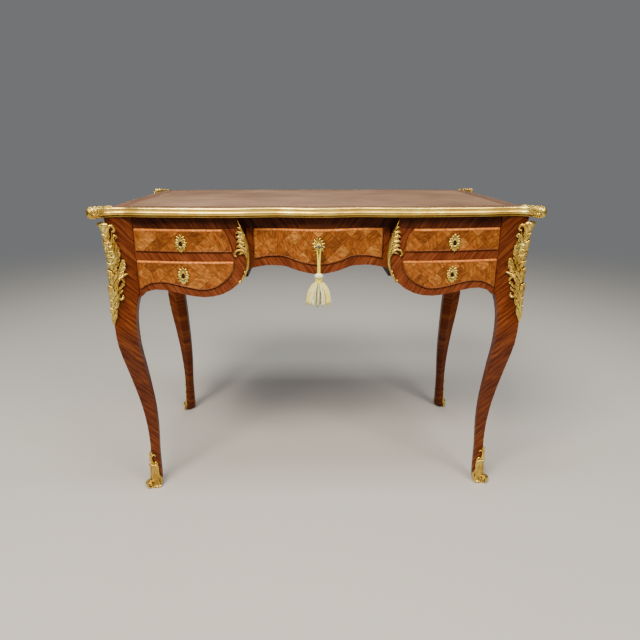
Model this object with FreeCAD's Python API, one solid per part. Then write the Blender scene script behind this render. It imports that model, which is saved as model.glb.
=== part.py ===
import FreeCAD, Part
import math
import os

os.makedirs("parts", exist_ok=True)

# A French writing table of the Louis XV kind, in mm. It stands on z = 0, is centred on
# x = 0 and y = 0, and its front faces -y. Places in depth are given as setbacks from the
# line through the tips of the front corner clasps.

# Overall sizes
clasp_half_width = 526.0
half_depth = 292.5
table_height = 770.0

# Top: board, leather, edge moulding and corner clasps
board_thickness = 22.0
board_side_inset = 47.0
board_front_setback = 16.0
board_sweep = 26.0
leather_thickness = 2.0
crossband_width = 30.0
moulding_reach = 6.0
clasp_thickness = 8.0
ear_radius = 9.0
clasp_tail = 34.0

# Front and back faces
pedestal_width = 273.0
belly_setback = 33.0
leg_end_setback = 54.0
centre_belly_setback = 31.0
centre_end_setback = 58.0
rail_thickness = 26.0
apron_drop = 214.5
centre_apron_drop = 158.5

# Legs
leg_inset = 36.0
leg_corner_setback = 35.0
leg_swing = 30.0
leg_splay = 19.0
knee_width = 52.0
stile_height = 188.0

# Sabots and leg mounts
sabot_thickness = 3.5
sabot_floor = 4.0
sabot_leaf_top = 110.0
sabot_leaf_width = 26.0
sabot_toe = 7.0
chute_thickness = 8.0
chute_width = 45.0
chute_drop = 32.0
chute_height = 248.0

# Sides
side_bow = 4.0
apron_thickness = 16.0
side_apron_rise = 18.0

# Drawers, with their heights measured down from the top of the table
drawer_gap = 1.0
drawer_drop = 51.0
upper_drawer_height = 54.0
mid_rail_height = 22.0
lower_drawer_height = 69.5
centre_drawer_height = 85.0
upper_shoulder_width = 38.0
shoulder_lean = 18.5
lower_shoulder_width = 35.0
centre_stile_width = 9.0
front_thickness = 18.0
front_proud = 4.0
front_step = 4.0
box_inner_room = 63.0
box_outer_room = 5.0
centre_box_room = 26.0
box_back_room = 115.0
side_board = 8.0
bottom_board = 5.0
bottom_rise = 3.0
box_headroom = 6.5
lower_box_rise = 20.8
lower_box_headroom = 3.0
centre_box_rise = 23.0

# Carcase inside
runner_width = 16.0
runner_gap = 0.3
runner_height = 14.0
kicker_height = 24.0
kicker_gap = 2.0
panel_thickness = 14.0
panel_setback = 7.0
panel_height = 148.0
block_size = 20.0
block_length = 45.0

# Locks, key and escutcheons
lock_from_kneehole = 158.5
keyhole_upper_drop = 30.5
keyhole_lower_drop = 31.5
keyhole_centre_drop = 37.0
lock_width = 46.0
lock_depth = 11.0
lock_wall = 1.5
lock_below = 13.0
lock_setback = 10.0
bolt_width = 14.0
bolt_thickness = 4.0
bolt_travel = 7.0
bolt_clearance = 0.3
bolt_tail_width = 24.0
bolt_tail_height = 4.0
bolt_above_key = 11.0
keyhole_radius = 2.8
keyhole_slot = 2.6
keyhole_drop = 9.4
escutcheon_thickness = 3.0
escutcheon_half_width = 14.0
escutcheon_half_height = 22.0
centre_escutcheon_half_width = 17.0
centre_escutcheon_half_height = 20.0
key_radius = 2.4
key_bit_reach = 9.0
key_bit_thickness = 2.2
key_bit_length = 5.0
key_out = 16.0
bow_half_width = 9.0
bow_half_height = 5.4
bow_bar = 2.6
bow_thickness = 3.2

# Shoulder scrolls
scroll_thickness = 5.0
scroll_ball_radius = 4.6

# Tassel
cord_diameter = 3.4
tassel_setback = 14.0
tassel_hang = 63.5
loop_half_width = 4.9
loop_over_key = 4.7
tassel_head_radius = 10.0
tassel_head_height = 14.0
tassel_waist_radius = 7.6
tassel_waist_height = 9.0
skirt_length = 58.5
skirt_half_width = 30.0
skirt_half_depth = 11.5

# One overrun for every cut
overrun = 20.0

# Smooth curves are cut from wood and bronze as short flats
flats_per_span = 2
flats_per_arc = 4
flats_per_lobe = 2
flats_per_bore = 12

board_side_x = clasp_half_width - board_side_inset
leg_corner_x = clasp_half_width - leg_inset
leg_inner_x = leg_corner_x - knee_width
kneehole_x = leg_inner_x - pedestal_width
apron_inner_x = leg_corner_x - leg_splay - apron_thickness
drawer_outer_x = leg_inner_x - drawer_gap
upper_inner_x = kneehole_x + upper_shoulder_width
lower_inner_x = kneehole_x + lower_shoulder_width
centre_drawer_half = kneehole_x - centre_stile_width
panel_x = kneehole_x + panel_setback
box_inner_x = kneehole_x + box_inner_room
box_outer_x = leg_inner_x - box_outer_room
centre_box_half = panel_x - centre_box_room
lock_x = kneehole_x + lock_from_kneehole
board_bottom = table_height - board_thickness
apron_bottom = table_height - apron_drop
centre_apron_bottom = table_height - centre_apron_drop
drawer_top = table_height - drawer_drop
upper_drawer_bottom = drawer_top - upper_drawer_height
lower_drawer_top = upper_drawer_bottom - mid_rail_height
lower_belly_bottom = lower_drawer_top - lower_drawer_height
centre_belly_bottom = drawer_top - centre_drawer_height
lower_box_bottom = lower_belly_bottom + lower_box_rise
panel_bottom = board_bottom - panel_height
stile_foot = board_bottom - stile_height
chute_top = table_height - chute_drop
chute_bottom = chute_top - chute_height
keyhole_upper_z = drawer_top - keyhole_upper_drop
keyhole_lower_z = lower_drawer_top - keyhole_lower_drop
keyhole_centre_z = drawer_top - keyhole_centre_drop
tassel_head_top = keyhole_centre_z - tassel_hang
box_back_y = half_depth - box_back_room
top_rail_bottom = drawer_top + drawer_gap
tassel_y = tassel_setback - half_depth

V = FreeCAD.Vector
up = V(0, 0, 1)


def save(name, *solids):
    """Writes a node: one solid, or a group of separate solids."""
    shape = solids[0] if len(solids) == 1 else Part.makeCompound(list(solids))
    shape.exportStep("parts/" + name + ".step")


def only(shape):
    """The single solid that a cut or a join leaves."""
    return max(shape.Solids, key=lambda solid: solid.Volume)


def fused(solids):
    """Joins solids into one and merges the faces that run on."""
    joined = solids[0].multiFuse(solids[1:]) if len(solids) > 1 else solids[0]
    return only(joined.removeSplitter())


def spline(points):
    """A curve that runs smoothly through points."""
    curve = Part.BSplineCurve()
    curve.interpolate(points)
    return curve


def flats(points, per_arc=flats_per_arc):
    """Corners of the short flats along a stretch: 2 points a line, 3 an arc, more a smooth curve."""
    if len(points) == 2:
        return points
    if len(points) == 3:
        curve = Part.Arc(points[0], points[1], points[2])
        return [points[0]] + curve.discretize(per_arc + 1)[1:-1] + [points[2]]
    curve = spline(points)
    count = flats_per_span * (len(points) - 1)
    return [points[0]] + curve.discretize(count + 1)[1:-1] + [points[-1]]


def closed_face(stretches, per_arc=flats_per_arc):
    """A flat face bounded by stretches that follow on from each other."""
    corners = []
    for points in stretches:
        corners += flats(points, per_arc)[:-1]
    return Part.Face(Part.makePolygon(corners + corners[:1]))


def elevation(stretches, y_front=-half_depth - overrun, y_back=half_depth + overrun, per_arc=flats_per_arc):
    """A prism whose outline is drawn in x and z and which runs along y."""
    lifted = [[V(x, y_front, z) for x, z in points] for points in stretches]
    return closed_face(lifted, per_arc).extrude(V(0, y_back - y_front, 0))


def plan(stretches, z_low, z_high):
    """A prism whose outline is drawn in x and y and which runs along z."""
    lifted = [[V(x, y, z_low) for x, y in points] for points in stretches]
    return closed_face(lifted).extrude(V(0, 0, z_high - z_low))


def box(x_low, x_high, y_low, y_high, z_low, z_high):
    """A plain block between its low and high faces."""
    size = (x_high - x_low, y_high - y_low, z_high - z_low)
    return Part.makeBox(size[0], size[1], size[2], V(x_low, y_low, z_low))


def left_of(shape):
    """The same piece on the left half of the table."""
    return shape.mirror(V(0, 0, 0), V(1, 0, 0))


def back_of(shape):
    """The same piece on the back half of the table."""
    return shape.mirror(V(0, 0, 0), V(0, 1, 0))


def four_corners(shape):
    """A front right piece with its three mirrored copies."""
    return {
        "front_right": shape,
        "front_left": left_of(shape),
        "back_right": back_of(shape),
        "back_left": left_of(back_of(shape)),
    }


# Plan of the face of a pedestal, as shares of its width and of its bow
pedestal_plan_shares = [(-0.05, 0.11), (0.13, 0), (0.35, 0), (0.57, 0.19), (0.79, 0.57), (1.03, 1.05)]
# Plan of the recessed centre, as shares of its half width and of its bow
centre_plan_shares = [(0, 0), (0.3, 0.26), (0.6, 0.7), (1, 1), (1.2, 1.02)]


def pedestal_plan():
    """Points of the pedestal's face, from the kneehole to the leg."""
    bow = leg_end_setback - belly_setback
    return [
        (kneehole_x + pedestal_width * across, belly_setback + bow * back - half_depth)
        for across, back in pedestal_plan_shares
    ]


def centre_plan():
    """Points of the centre's face, from left to right."""
    bow = centre_end_setback - centre_belly_setback
    right = [
        (kneehole_x * across, centre_belly_setback + bow * back - half_depth)
        for across, back in centre_plan_shares
    ]
    return [(-x, y) for x, y in reversed(right[1:])] + right


def slab(points, y_near, y_far):
    """The space between a face's plan curve moved by y_near and by y_far, at full height."""
    near = [(x, y + y_near) for x, y in points]
    far = [(x, y + y_far) for x, y in points]
    return plan([near, [near[-1], far[-1]], far[::-1], [far[0], near[0]]], 0, table_height)


# Board


board_front_shares = [
    (0, 0), (0.1, 0.23), (0.2, 0.44), (0.4, 0.12), (0.645, 0.38), (0.806, 0.66), (0.907, 0.96), (0.958, 0.74),
]
board_side_shares = [(0.14, 0.03), (0.27, -0.04), (0.62, 0.06), (1, 0.03)]
ear_x = clasp_half_width - clasp_thickness - ear_radius
ear_y = clasp_thickness + ear_radius - half_depth


def ear_point(angle, radius):
    """A point on the round tip of the corner, at an angle from +x."""
    turn = math.radians(angle)
    return (ear_x + radius * math.cos(turn), ear_y + radius * math.sin(turn))


def board_front_points():
    """The front right quarter of the board's edge, from the centre line to the tip."""
    tip = ear_point(225, ear_radius)
    run = []
    for across, back in board_front_shares:
        run.append((tip[0] * across, board_front_setback + board_sweep * back - half_depth))
    return run + [tip]


def board_side_points():
    """The right edge of the board, from the tip to the middle of the side."""
    tip = ear_point(45, ear_radius)
    reach = tip[0] - board_side_x
    return [tip] + [(board_side_x + reach * out, tip[1] - tip[1] * along) for along, out in board_side_shares]


def mirrored_run(points, flip):
    """Points of a run with its mirror image before it, sharing the middle point."""
    return [flip(p) for p in reversed(points[1:])] + points


front_edge_points = mirrored_run(board_front_points(), lambda p: (-p[0], p[1]))
side_edge_points = board_side_points() + [(x, -y) for x, y in reversed(board_side_points()[:-1])]


def board_face_stretches():
    """The board's whole edge: four serpentine sides and four round tips."""
    front = front_edge_points
    right = side_edge_points
    back = [(x, -y) for x, y in front]
    left = [(-x, y) for x, y in right]
    tip = ear_point(-45, ear_radius)
    tips = [
        [front[-1], tip, right[0]],
        [right[-1], (tip[0], -tip[1]), back[-1]],
        [back[0], (-tip[0], -tip[1]), left[-1]],
        [left[0], (-tip[0], tip[1]), front[0]],
    ]
    sides = [front, right, back[::-1], left[::-1]]
    return [stretch for side, tip_arc in zip(sides, tips) for stretch in (side, tip_arc)]


def leather_solid():
    """The writing leather, let into the board inside its crossbanded border."""
    narrow = (board_side_x - crossband_width) / leg_corner_x
    depth = -(front_edge_points[-2][1]) - crossband_width
    front = [(x * narrow, y + crossband_width) for x, y in front_edge_points[2:-2]]
    corner = (board_side_x - crossband_width, -depth)
    right_run = [(corner[0], corner[1]), (corner[0], -corner[1])]
    front_run = [(-corner[0], corner[1])] + front + [corner]
    back_run = [(x, -y) for x, y in front_run]
    left_run = [(-x, y) for x, y in right_run]
    around = [front_run, right_run, back_run[::-1], left_run[::-1]]
    return plan(around, table_height - leather_thickness, table_height)


def board_solid(leather):
    """The top board with its recess for the leather."""
    return only(plan(board_face_stretches(), board_bottom, table_height).cut(leather))


def first_stretch(run, length):
    """The start of a run of flats, cut off at a length along it."""
    result = [run[0]]
    for near, far in zip(run, run[1:]):
        step = near.distanceToPoint(far)
        if step >= length:
            return result + [near + (far - near) * (length / step)]
        result.append(far)
        length -= step
    return result


def mitred_sections(path, profiles, reach, height):
    """Sections along a path of flats, each square to the edge and mitred at its corner."""
    sections = []
    last = len(path) - 1
    for i, (place, profile) in enumerate(zip(path, profiles)):
        into = place - path[i - 1] if i else path[1] - place
        out_of = path[i + 1] - place if i < last else into
        before = V(into).normalize().cross(up)
        after = V(out_of).normalize().cross(up)
        mitre = (before + after) * (1 / (1 + before.dot(after)))
        sections.append([place + mitre * (reach * out) + up * (height * rise) for out, rise in profile])
    return sections


# Section of a clasp: rounded outside, hooked over the board's top, reach and height shares
clasp_shares = [
    (0, -0.14), (0.35, -0.14), (0.8, 0.05), (1, 0.35), (1, 0.6), (0.8, 0.95), (0.3, 1.18), (-0.7, 1.18),
    (-0.7, 1), (0, 1),
]
clasp_end_share = 0.85


def clasp_solid():
    """The cast clasp round the front right corner, a little slimmer at its ends."""
    front = flats([V(x, y, board_bottom) for x, y in front_edge_points])
    side = flats([V(x, y, board_bottom) for x, y in side_edge_points])
    tip = ear_point(-45, ear_radius)
    arc = flats([front[-1], V(tip[0], tip[1], board_bottom), side[0]])
    path = first_stretch(front[::-1], clasp_tail)[::-1] + arc[1:-1] + first_stretch(side, clasp_tail)
    slim = [(out * clasp_end_share, rise) for out, rise in clasp_shares]
    profiles = [slim] + [clasp_shares] * (len(path) - 2) + [slim]
    return faceted_solid(mitred_sections(path, profiles, clasp_thickness, board_thickness))


# Edge moulding: a fillet, a large half round, a groove and a bead, reach and height shares
moulding_shares = [
    (0, 0), (0.7, 0), (0.95, 0.24), (1, 0.45), (0.92, 0.64), (0.5, 0.75), (0.8, 0.82), (0.8, 0.94),
    (0.5, 1), (0, 1),
]


def moulding_run(points, clasps):
    """A length of moulding round one side, mitred at each flat and cut off at the clasps."""
    edge = flats([V(x, y, board_bottom) for x, y in points])[1:-1]
    solid = shell_solid(mitred_sections(edge, [moulding_shares] * len(edge), moulding_reach, board_thickness))
    for clasp in clasps:
        solid = solid.cut(clasp)
    return only(solid)


def ring_bands(sections):
    """The four corners of each flat strip between sections that follow on."""
    for ring, following in zip(sections, sections[1:]):
        for i, corner in enumerate(ring):
            j = (i + 1) % len(ring)
            yield corner, ring[j], following[j], following[i]


def flat_face(corners):
    """A flat face with straight edges."""
    return Part.Face(Part.makePolygon(list(corners) + [corners[0]]))


def solid_between(sections, sides):
    """A solid of flat faces, closed at its first and last section."""
    solid = Part.Solid(Part.makeShell([flat_face(sections[0]), flat_face(sections[-1])] + sides))
    if solid.Volume < 0:
        solid.reverse()
    return solid


def shell_solid(sections):
    """A solid between sections whose strips are flat, such as a mitred moulding."""
    return solid_between(sections, [flat_face(strip) for strip in ring_bands(sections)])


def faceted_solid(sections):
    """A solid between sections whose strips twist, so that each strip is two triangles."""
    sides = []
    for a, b, c, d in ring_bands(sections):
        sides += [flat_face((a, b, c)), flat_face((a, c, d))]
    return solid_between(sections, sides)


# Legs


# Height share below the stile, inward swing share, width share and splay share
leg_shares = [
    (0, 0.7, 0.56, 0), (0.03, 0.86, 0.51, 0), (0.075, 0.95, 0.475, 0), (0.173, 0.98, 0.46, 0),
    (0.245, 1, 0.48, 0), (0.335, 0.95, 0.55, 0), (0.442, 0.77, 0.645, 0), (0.55, 0.47, 0.75, 0),
    (0.658, 0.12, 0.865, 0), (0.766, -0.22, 0.95, 0.1), (0.874, -0.3, 0.96, 0.42), (0.946, -0.18, 0.95, 0.79),
]
# Height share of the stile and inward swing share
stile_shares = [(0, -0.08), (0.16, 0), (0.32, 0.07), (0.53, 0.05), (0.745, 0), (1, -0.13)]
flank_share = 0.5


def leg_section(z, inward, width, splay, grow=0, toe=0):
    """The five-sided section of the front right leg, its inner corner cut away."""
    x = leg_corner_x - inward
    y = leg_corner_setback + inward - half_depth
    flank = width * flank_share
    points = [
        (x + grow + toe, y - grow - toe),
        (x - width - grow, y + splay - grow),
        (x - width - grow, y + splay + flank),
        (x - splay - flank, y + width + grow),
        (x - splay + grow, y + width + grow),
    ]
    return [V(px, py, z) for px, py in points]


def leg_stations():
    """Height, swing, width and splay at each station below the stile."""
    rise = stile_foot - sabot_floor
    return [
        (sabot_floor + rise * up_share, leg_swing * swing, knee_width * width, leg_splay * splay)
        for up_share, swing, width, splay in leg_shares
    ]


def stile_stations():
    """The same up the stile, whose inner faces stay in line with the frame."""
    stations = []
    for up_share, swing in stile_shares:
        inward = leg_swing * swing
        width = leg_corner_x - inward - leg_inner_x
        z = stile_foot + (board_bottom - stile_foot) * up_share
        stations.append((z, inward, width, leg_splay))
    return stations


near_weight = 0.5625
far_weight = 0.0625


def finer(stations):
    """The stations with one more between each pair, on the smooth run through them all."""
    padded = stations[:1] + stations + stations[-1:]
    result = stations[:1]
    for a, b, c, d in zip(padded, padded[1:], padded[2:], padded[3:]):
        result.append(tuple(near_weight * (q + r) - far_weight * (p + s) for p, q, r, s in zip(a, b, c, d)))
        result.append(c)
    return result


def leg_solid():
    """The cabriole leg and the stile above it, in one piece of wood."""
    stations = finer(leg_stations() + stile_stations()[:1]) + stile_stations()[1:]
    return faceted_solid([leg_section(*s) for s in stations])


# Upper edge of a sabot on one face, as shares of its width and height, arc by arc from the corner
sabot_shares = [
    [(0, 1), (0.12, 0.8), (0.38, 0.68)],
    [(0.38, 0.68), (0.54, 0.6), (0.58, 0.5)],
    [(0.58, 0.5), (0.7, 0.36), (1.2, 0.28)],
]


def sabot_solid(leg):
    """The cast shoe: a toe that turns out below, a tongue up the corner, a leaf on top."""
    stations = finer(leg_stations()[:5])
    sections = [leg_section(0, *stations[0][1:], grow=sabot_thickness, toe=sabot_toe)]
    for station in stations[1:]:
        sections.append(leg_section(*station, grow=sabot_thickness))
    shoe = faceted_solid(sections).cut(leg)
    x = leg_corner_x - leg_swing
    edge = [
        [(x - sabot_leaf_width * out, sabot_leaf_top * rise) for out, rise in arc] for arc in sabot_shares
    ]
    corner = edge[0][0]
    end = edge[-1][-1]
    outer = leg_corner_x + overrun
    front_leaf = edge + [
        [end, (end[0] - overrun, end[1])],
        [(end[0] - overrun, end[1]), (end[0] - overrun, -overrun)],
        [(end[0] - overrun, -overrun), (outer, -overrun)],
        [(outer, -overrun), (outer, corner[1])],
        [(outer, corner[1]), corner],
    ]
    y = leg_corner_setback - half_depth
    leaf = elevation(front_leaf, y - 2 * overrun, y + leg_swing + 2 * knee_width)
    return only(shoe.common(leaf).common(diagonal_mirror(leaf)))


def diagonal_mirror(shape):
    """Swaps the front and the side of the front right corner."""
    return shape.mirror(V(leg_corner_x, leg_corner_setback - half_depth, 0), V(1, 1, 0))


# Leaf mount down the leg's corner, as shares of its width and height, arc by arc
chute_shares = [
    [(0, 1), (0.32, 0.99), (0.42, 0.93)],
    [(0.42, 0.93), (0.27, 0.88), (0.2, 0.842)],
    [(0.2, 0.842), (0.53, 0.82), (0.73, 0.77)],
    [(0.73, 0.77), (0.7, 0.7), (0.47, 0.61)],
    [(0.47, 0.61), (0.68, 0.625), (0.88, 0.66)],
    [(0.88, 0.66), (1, 0.585), (0.95, 0.488)],
    [(0.95, 0.488), (0.76, 0.464), (0.62, 0.458)],
    [(0.62, 0.458), (0.78, 0.42), (0.82, 0.358)],
    [(0.82, 0.358), (0.76, 0.26), (0.38, 0.188)],
    [(0.38, 0.188), (0.2, 0.12), (0, 0)],
]


def chute_solid(leg):
    """The leaf mount: a shell over the leg's two outer faces, cut to a lobed outline."""
    stations = leg_stations()[-3:] + stile_stations()
    shell = faceted_solid([leg_section(*s, grow=chute_thickness) for s in stations]).cut(leg)
    height = chute_top - chute_bottom
    x = leg_corner_x
    y = leg_corner_setback - half_depth
    stretches = [
        [(x - chute_width * across, chute_bottom + height * rise) for across, rise in arc]
        for arc in chute_shares
    ]
    edge = x + overrun
    stretches.append([(x, chute_bottom), (edge, chute_bottom)])
    stretches.append([(edge, chute_bottom), (edge, chute_top)])
    stretches.append([(edge, chute_top), (x, chute_top)])
    leaf = elevation(stretches, y - overrun, y + chute_width, flats_per_lobe)
    reach = 2 * chute_width
    half = [
        [(x + reach, y - reach), (x - reach, y + reach)],
        [(x - reach, y + reach), (x - reach, y - reach)],
        [(x - reach, y - reach), (x + reach, y - reach)],
    ]
    front = only(shell.common(leaf).common(plan(half, 0, table_height)))
    return only(fused([front, diagonal_mirror(front)]).cut(leg))


# Drawer outlines


upper_edge_shares = [(1, 1), (0.62, 0.76), (0.35, 0.53), (0.135, 0.26), (0, 0)]
lower_edge_shares = [
    (0, 1), (0.03, 0.57), (0.156, 0.165), (0.306, 0), (0.473, 0.065), (0.66, 0.2), (0.77, 0.235),
    (0.89, 0.173), (1, -0.03),
]
centre_edge_shares = [
    (0, 0), (0.14, 0.018), (0.34, 0.094), (0.48, 0.188), (0.61, 0.223), (0.82, 0.2), (1, 0.129),
]


def upper_outline(grow):
    """The upper side drawer in elevation, or its opening, its inner edge on the shoulder's curve."""
    top = drawer_top + grow
    bottom = upper_drawer_bottom - grow
    outer = drawer_outer_x + grow
    inner = [
        (upper_inner_x + shoulder_lean * lean - grow, bottom + (top - bottom) * rise)
        for lean, rise in upper_edge_shares
    ]
    return [inner, [inner[-1], (outer, bottom)], [(outer, bottom), (outer, top)], [(outer, top), inner[0]]]


def lower_outline(grow):
    """The lower side drawer in elevation, or its opening, with its belly and hump."""
    inner = lower_inner_x - grow
    outer = drawer_outer_x + grow
    bottom = lower_belly_bottom - grow
    top = lower_drawer_top + grow
    rise = lower_drawer_top - lower_belly_bottom
    width = outer - inner
    curve = [(inner + width * across, bottom + rise * lift) for across, lift in lower_edge_shares[1:]]
    run = [(inner, top)] + curve
    return [run, [run[-1], (outer, top)], [(outer, top), (inner, top)]]


def centre_outline(grow):
    """The centre drawer in elevation, or its opening, with the drop in its middle."""
    top = drawer_top + grow
    bottom = centre_belly_bottom - grow
    half = centre_drawer_half + grow
    rise = drawer_top - centre_belly_bottom
    right = [(half * across, bottom + rise * lift) for across, lift in centre_edge_shares]
    run = mirrored_run(right, lambda p: (-p[0], p[1]))
    return [run, [run[-1], (half, top)], [(half, top), (-half, top)], [(-half, top), run[0]]]


# Frame


shoulder_shares = [
    (0.092, 1), (0.024, 0.7), (0.011, 0.517), (0.055, 0.262), (0.189, 0.078), (0.385, 0), (0.66, 0.055),
    (0.817, 0.086), (0.932, 0.055), (1, -0.034),
]
centre_apron_shares = [
    (0, 0), (0.21, 0.053), (0.345, 0.115), (0.47, 0.2), (0.6, 0.215), (0.73, 0.215), (0.84, 0.185),
    (1.07, 0.08),
]


def pedestal_outline():
    """A pedestal's whole front in elevation: shoulder, shaped apron and straight leg side."""
    height = board_bottom - apron_bottom
    curve = [
        (kneehole_x + pedestal_width * across, apron_bottom + height * rise)
        for across, rise in shoulder_shares
    ]
    corner = (leg_inner_x, board_bottom)
    return [curve, [curve[-1], corner], [corner, curve[0]]]


def centre_front_outline():
    """The recessed centre's whole front in elevation."""
    rise = drawer_top - centre_belly_bottom
    right = [(kneehole_x * across, centre_apron_bottom + rise * lift) for across, lift in centre_apron_shares]
    run = mirrored_run(right, lambda p: (-p[0], p[1]))
    end = run[-1][0]
    return [run, [run[-1], (end, board_bottom)], [(end, board_bottom), (-end, board_bottom)],
            [(-end, board_bottom), run[0]]]


def bolt_mortise(x, face_y, z):
    """The pocket above a drawer that its lock bolt rises into."""
    half = bolt_width / 2 + bolt_clearance
    middle = face_y + lock_setback + lock_depth / 2
    deep = bolt_thickness / 2 + bolt_clearance
    return box(x - half, x + half, middle - deep, middle + deep, z - drawer_gap, z + bolt_travel + drawer_gap)


def face_y_at(points, x):
    """The face's y at a given x, read from its plan curve."""
    curve = spline([V(px, py, 0) for px, py in points])
    edge = Part.makeLine(V(x, -half_depth - overrun, 0), V(x, half_depth, 0))
    return curve.intersectCC(edge.Curve)[0].Y


lock_y = face_y_at(pedestal_plan(), lock_x)
centre_lock_y = centre_belly_setback - half_depth


def front_frame():
    """The right pedestal's frame pieces and the centre's, by name."""
    face = elevation(pedestal_outline()).common(slab(pedestal_plan(), 0, rail_thickness))
    frame = face.cut(elevation(upper_outline(drawer_gap))).cut(elevation(lower_outline(drawer_gap)))
    far = leg_inner_x + overrun
    deep = half_depth + overrun
    top_zone = box(-far, far, -deep, 0, top_rail_bottom, table_height)
    mid_zone = box(lower_inner_x, far, -deep, 0, lower_drawer_top, upper_drawer_bottom)
    low_zone = box(0, far, -deep, 0, 0, panel_bottom)
    pieces = {
        "top": only(frame.common(top_zone)),
        "mid_rail": only(frame.common(mid_zone)),
        "lower_rail": only(frame.common(low_zone)),
        "kneehole_stile": only(frame.cut(top_zone).cut(mid_zone).cut(low_zone)),
    }
    middle = elevation(centre_front_outline()).common(slab(centre_plan(), 0, rail_thickness))
    middle_frame = middle.cut(elevation(centre_outline(drawer_gap)))
    half = centre_drawer_half + drawer_gap
    between = box(-half, half, -deep, 0, 0, top_rail_bottom)
    pieces["centre_top"] = only(middle_frame.common(top_zone))
    pieces["centre_apron_rail"] = only(middle_frame.common(between))
    beside = middle_frame.cut(between).cut(top_zone).common(box(half, panel_x, -deep, 0, 0, table_height))
    pieces["centre_stile"] = only(beside.cut(face))
    pieces["whole_pedestal"] = only(face)
    pieces["whole_centre"] = only(middle)
    return pieces


def top_rail(pieces):
    """The long rail over all the drawers, stepped back at the centre, with three bolt mortises."""
    back_reach = centre_end_setback - belly_setback + rail_thickness
    turn = box(panel_x, upper_inner_x, -half_depth, 0, top_rail_bottom, board_bottom)
    run_on = only(turn.common(slab(centre_plan(), 0, rail_thickness)))
    step = only(turn.common(elevation(pedestal_outline())).common(slab(pedestal_plan(), 0, back_reach)))
    corner = fused([run_on, step])
    rail = fused([pieces["centre_top"], corner, left_of(corner), pieces["top"], left_of(pieces["top"])])
    for x, y in ((lock_x, lock_y), (-lock_x, lock_y), (0, centre_lock_y)):
        rail = rail.cut(bolt_mortise(x, y, top_rail_bottom))
    return only(rail)


def side_apron():
    """The right side's shaped panel between the two legs, slightly bowed."""
    end = half_depth - leg_corner_setback - (leg_corner_x - leg_inner_x)
    face_x = leg_corner_x - leg_splay
    bow = [(face_x, -end), (face_x + side_bow, 0), (face_x, end)]
    stretches = [bow, [bow[-1], (apron_inner_x, end)], [(apron_inner_x, end), (apron_inner_x, -end)],
                 [(apron_inner_x, -end), bow[0]]]
    block = plan(stretches, apron_bottom - overrun, board_bottom)
    run_shares = [
        (-1, -0.35), (-0.8, 0.75), (-0.6, 1), (-0.3, 0.35), (0, 0), (0.3, 0.35), (0.6, 1), (0.8, 0.75),
        (1, -0.35),
    ]
    lower = [V(0, end * along, apron_bottom + side_apron_rise * rise) for along, rise in run_shares]
    top_near = V(0, -end, board_bottom)
    top_far = V(0, end, board_bottom)
    shape = closed_face([lower, [lower[-1], top_far], [top_far, top_near], [top_near, lower[0]]])
    return only(block.common(shape.extrude(V(clasp_half_width, 0, 0))))


def kneehole_panel(rail, back_centre):
    """The right pedestal's inner wall, from the front frame to the back frame."""
    wall = box(panel_x, panel_x + panel_thickness, -half_depth, half_depth, panel_bottom, board_bottom)
    front_cut = slab(pedestal_plan(), -overrun * 2, rail_thickness)
    return only(wall.cut(front_cut).cut(back_of(front_cut)).cut(rail).cut(back_centre))


def runner(x_low, z_low, z_high, points):
    """A strip along the depth, butted against the front and back frames."""
    strip = box(x_low, x_low + runner_width, -half_depth, half_depth, z_low, z_high)
    cut = slab(points, -overrun * 2, rail_thickness)
    return only(strip.cut(cut).cut(back_of(cut)))


upper_box_bottom = upper_drawer_bottom + bottom_rise + runner_gap
centre_box_bottom = centre_belly_bottom + centre_box_rise + runner_gap


def side_runners():
    """The right pedestal's runners and the kickers over its upper drawer."""
    x_inner = box_inner_x - runner_width / 4
    x_outer = leg_inner_x - runner_width
    strips = []
    for x in (x_inner, x_outer):
        upper_top = upper_box_bottom - runner_gap
        upper_low = upper_top - kicker_height - kicker_gap
        strips.append(runner(x, upper_low, upper_top, pedestal_plan()))
        lower_top = lower_box_bottom - runner_gap
        strips.append(runner(x, lower_top - runner_height, lower_top, pedestal_plan()))
        kicker_low = drawer_top - box_headroom + kicker_gap
        strips.append(runner(x, kicker_low, board_bottom, pedestal_plan()))
    return strips


def centre_runner():
    """The right runner of the centre drawer, against the kneehole's wall."""
    top = centre_box_bottom - runner_gap
    width = panel_x - centre_box_half + side_board
    strip = box(panel_x - width, panel_x, -half_depth, half_depth, top - runner_height, top)
    cut = slab(centre_plan(), -overrun * 2, rail_thickness)
    return only(strip.cut(cut).cut(back_of(cut)))


def glue_blocks():
    """Blocks rubbed in behind the side apron and the kneehole wall, under the board."""
    blocks = []
    for along in (-half_depth / 3, half_depth / 3):
        low = along - block_length / 2
        high = along + block_length / 2
        z_low = board_bottom - block_size
        blocks.append(box(leg_inner_x, apron_inner_x, low, high, z_low, board_bottom))
        blocks.append(box(panel_x - block_size, panel_x, low, high, z_low, board_bottom))
    return blocks


# Drawers


def ring_points(half_width, half_height):
    """The corners of a round or oval made of short flats."""
    turns = [2 * math.pi * i / flats_per_bore for i in range(flats_per_bore)]
    return [(half_width * math.cos(turn), half_height * math.sin(turn)) for turn in turns]


def ring_stretches(points):
    """The same corners as lines from each to the next."""
    return [[p, q] for p, q in zip(points, points[1:] + points[:1])]


def rod(x, z, radius, y_near, y_far):
    """A round bar along y."""
    points = [(x + across, z + rise) for across, rise in ring_points(radius, radius)]
    return elevation(ring_stretches(points), y_near, y_far)


def keyhole(x, z):
    """A round hole with a slot below it, cut through along y."""
    deep = 2 * half_depth
    bore = rod(x, z, keyhole_radius, -half_depth - overrun, deep - half_depth - overrun)
    half = keyhole_slot / 2
    slot = box(x - half, x + half, -half_depth - overrun, deep - half_depth - overrun, z - keyhole_drop, z)
    return bore.fuse(slot)


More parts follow.
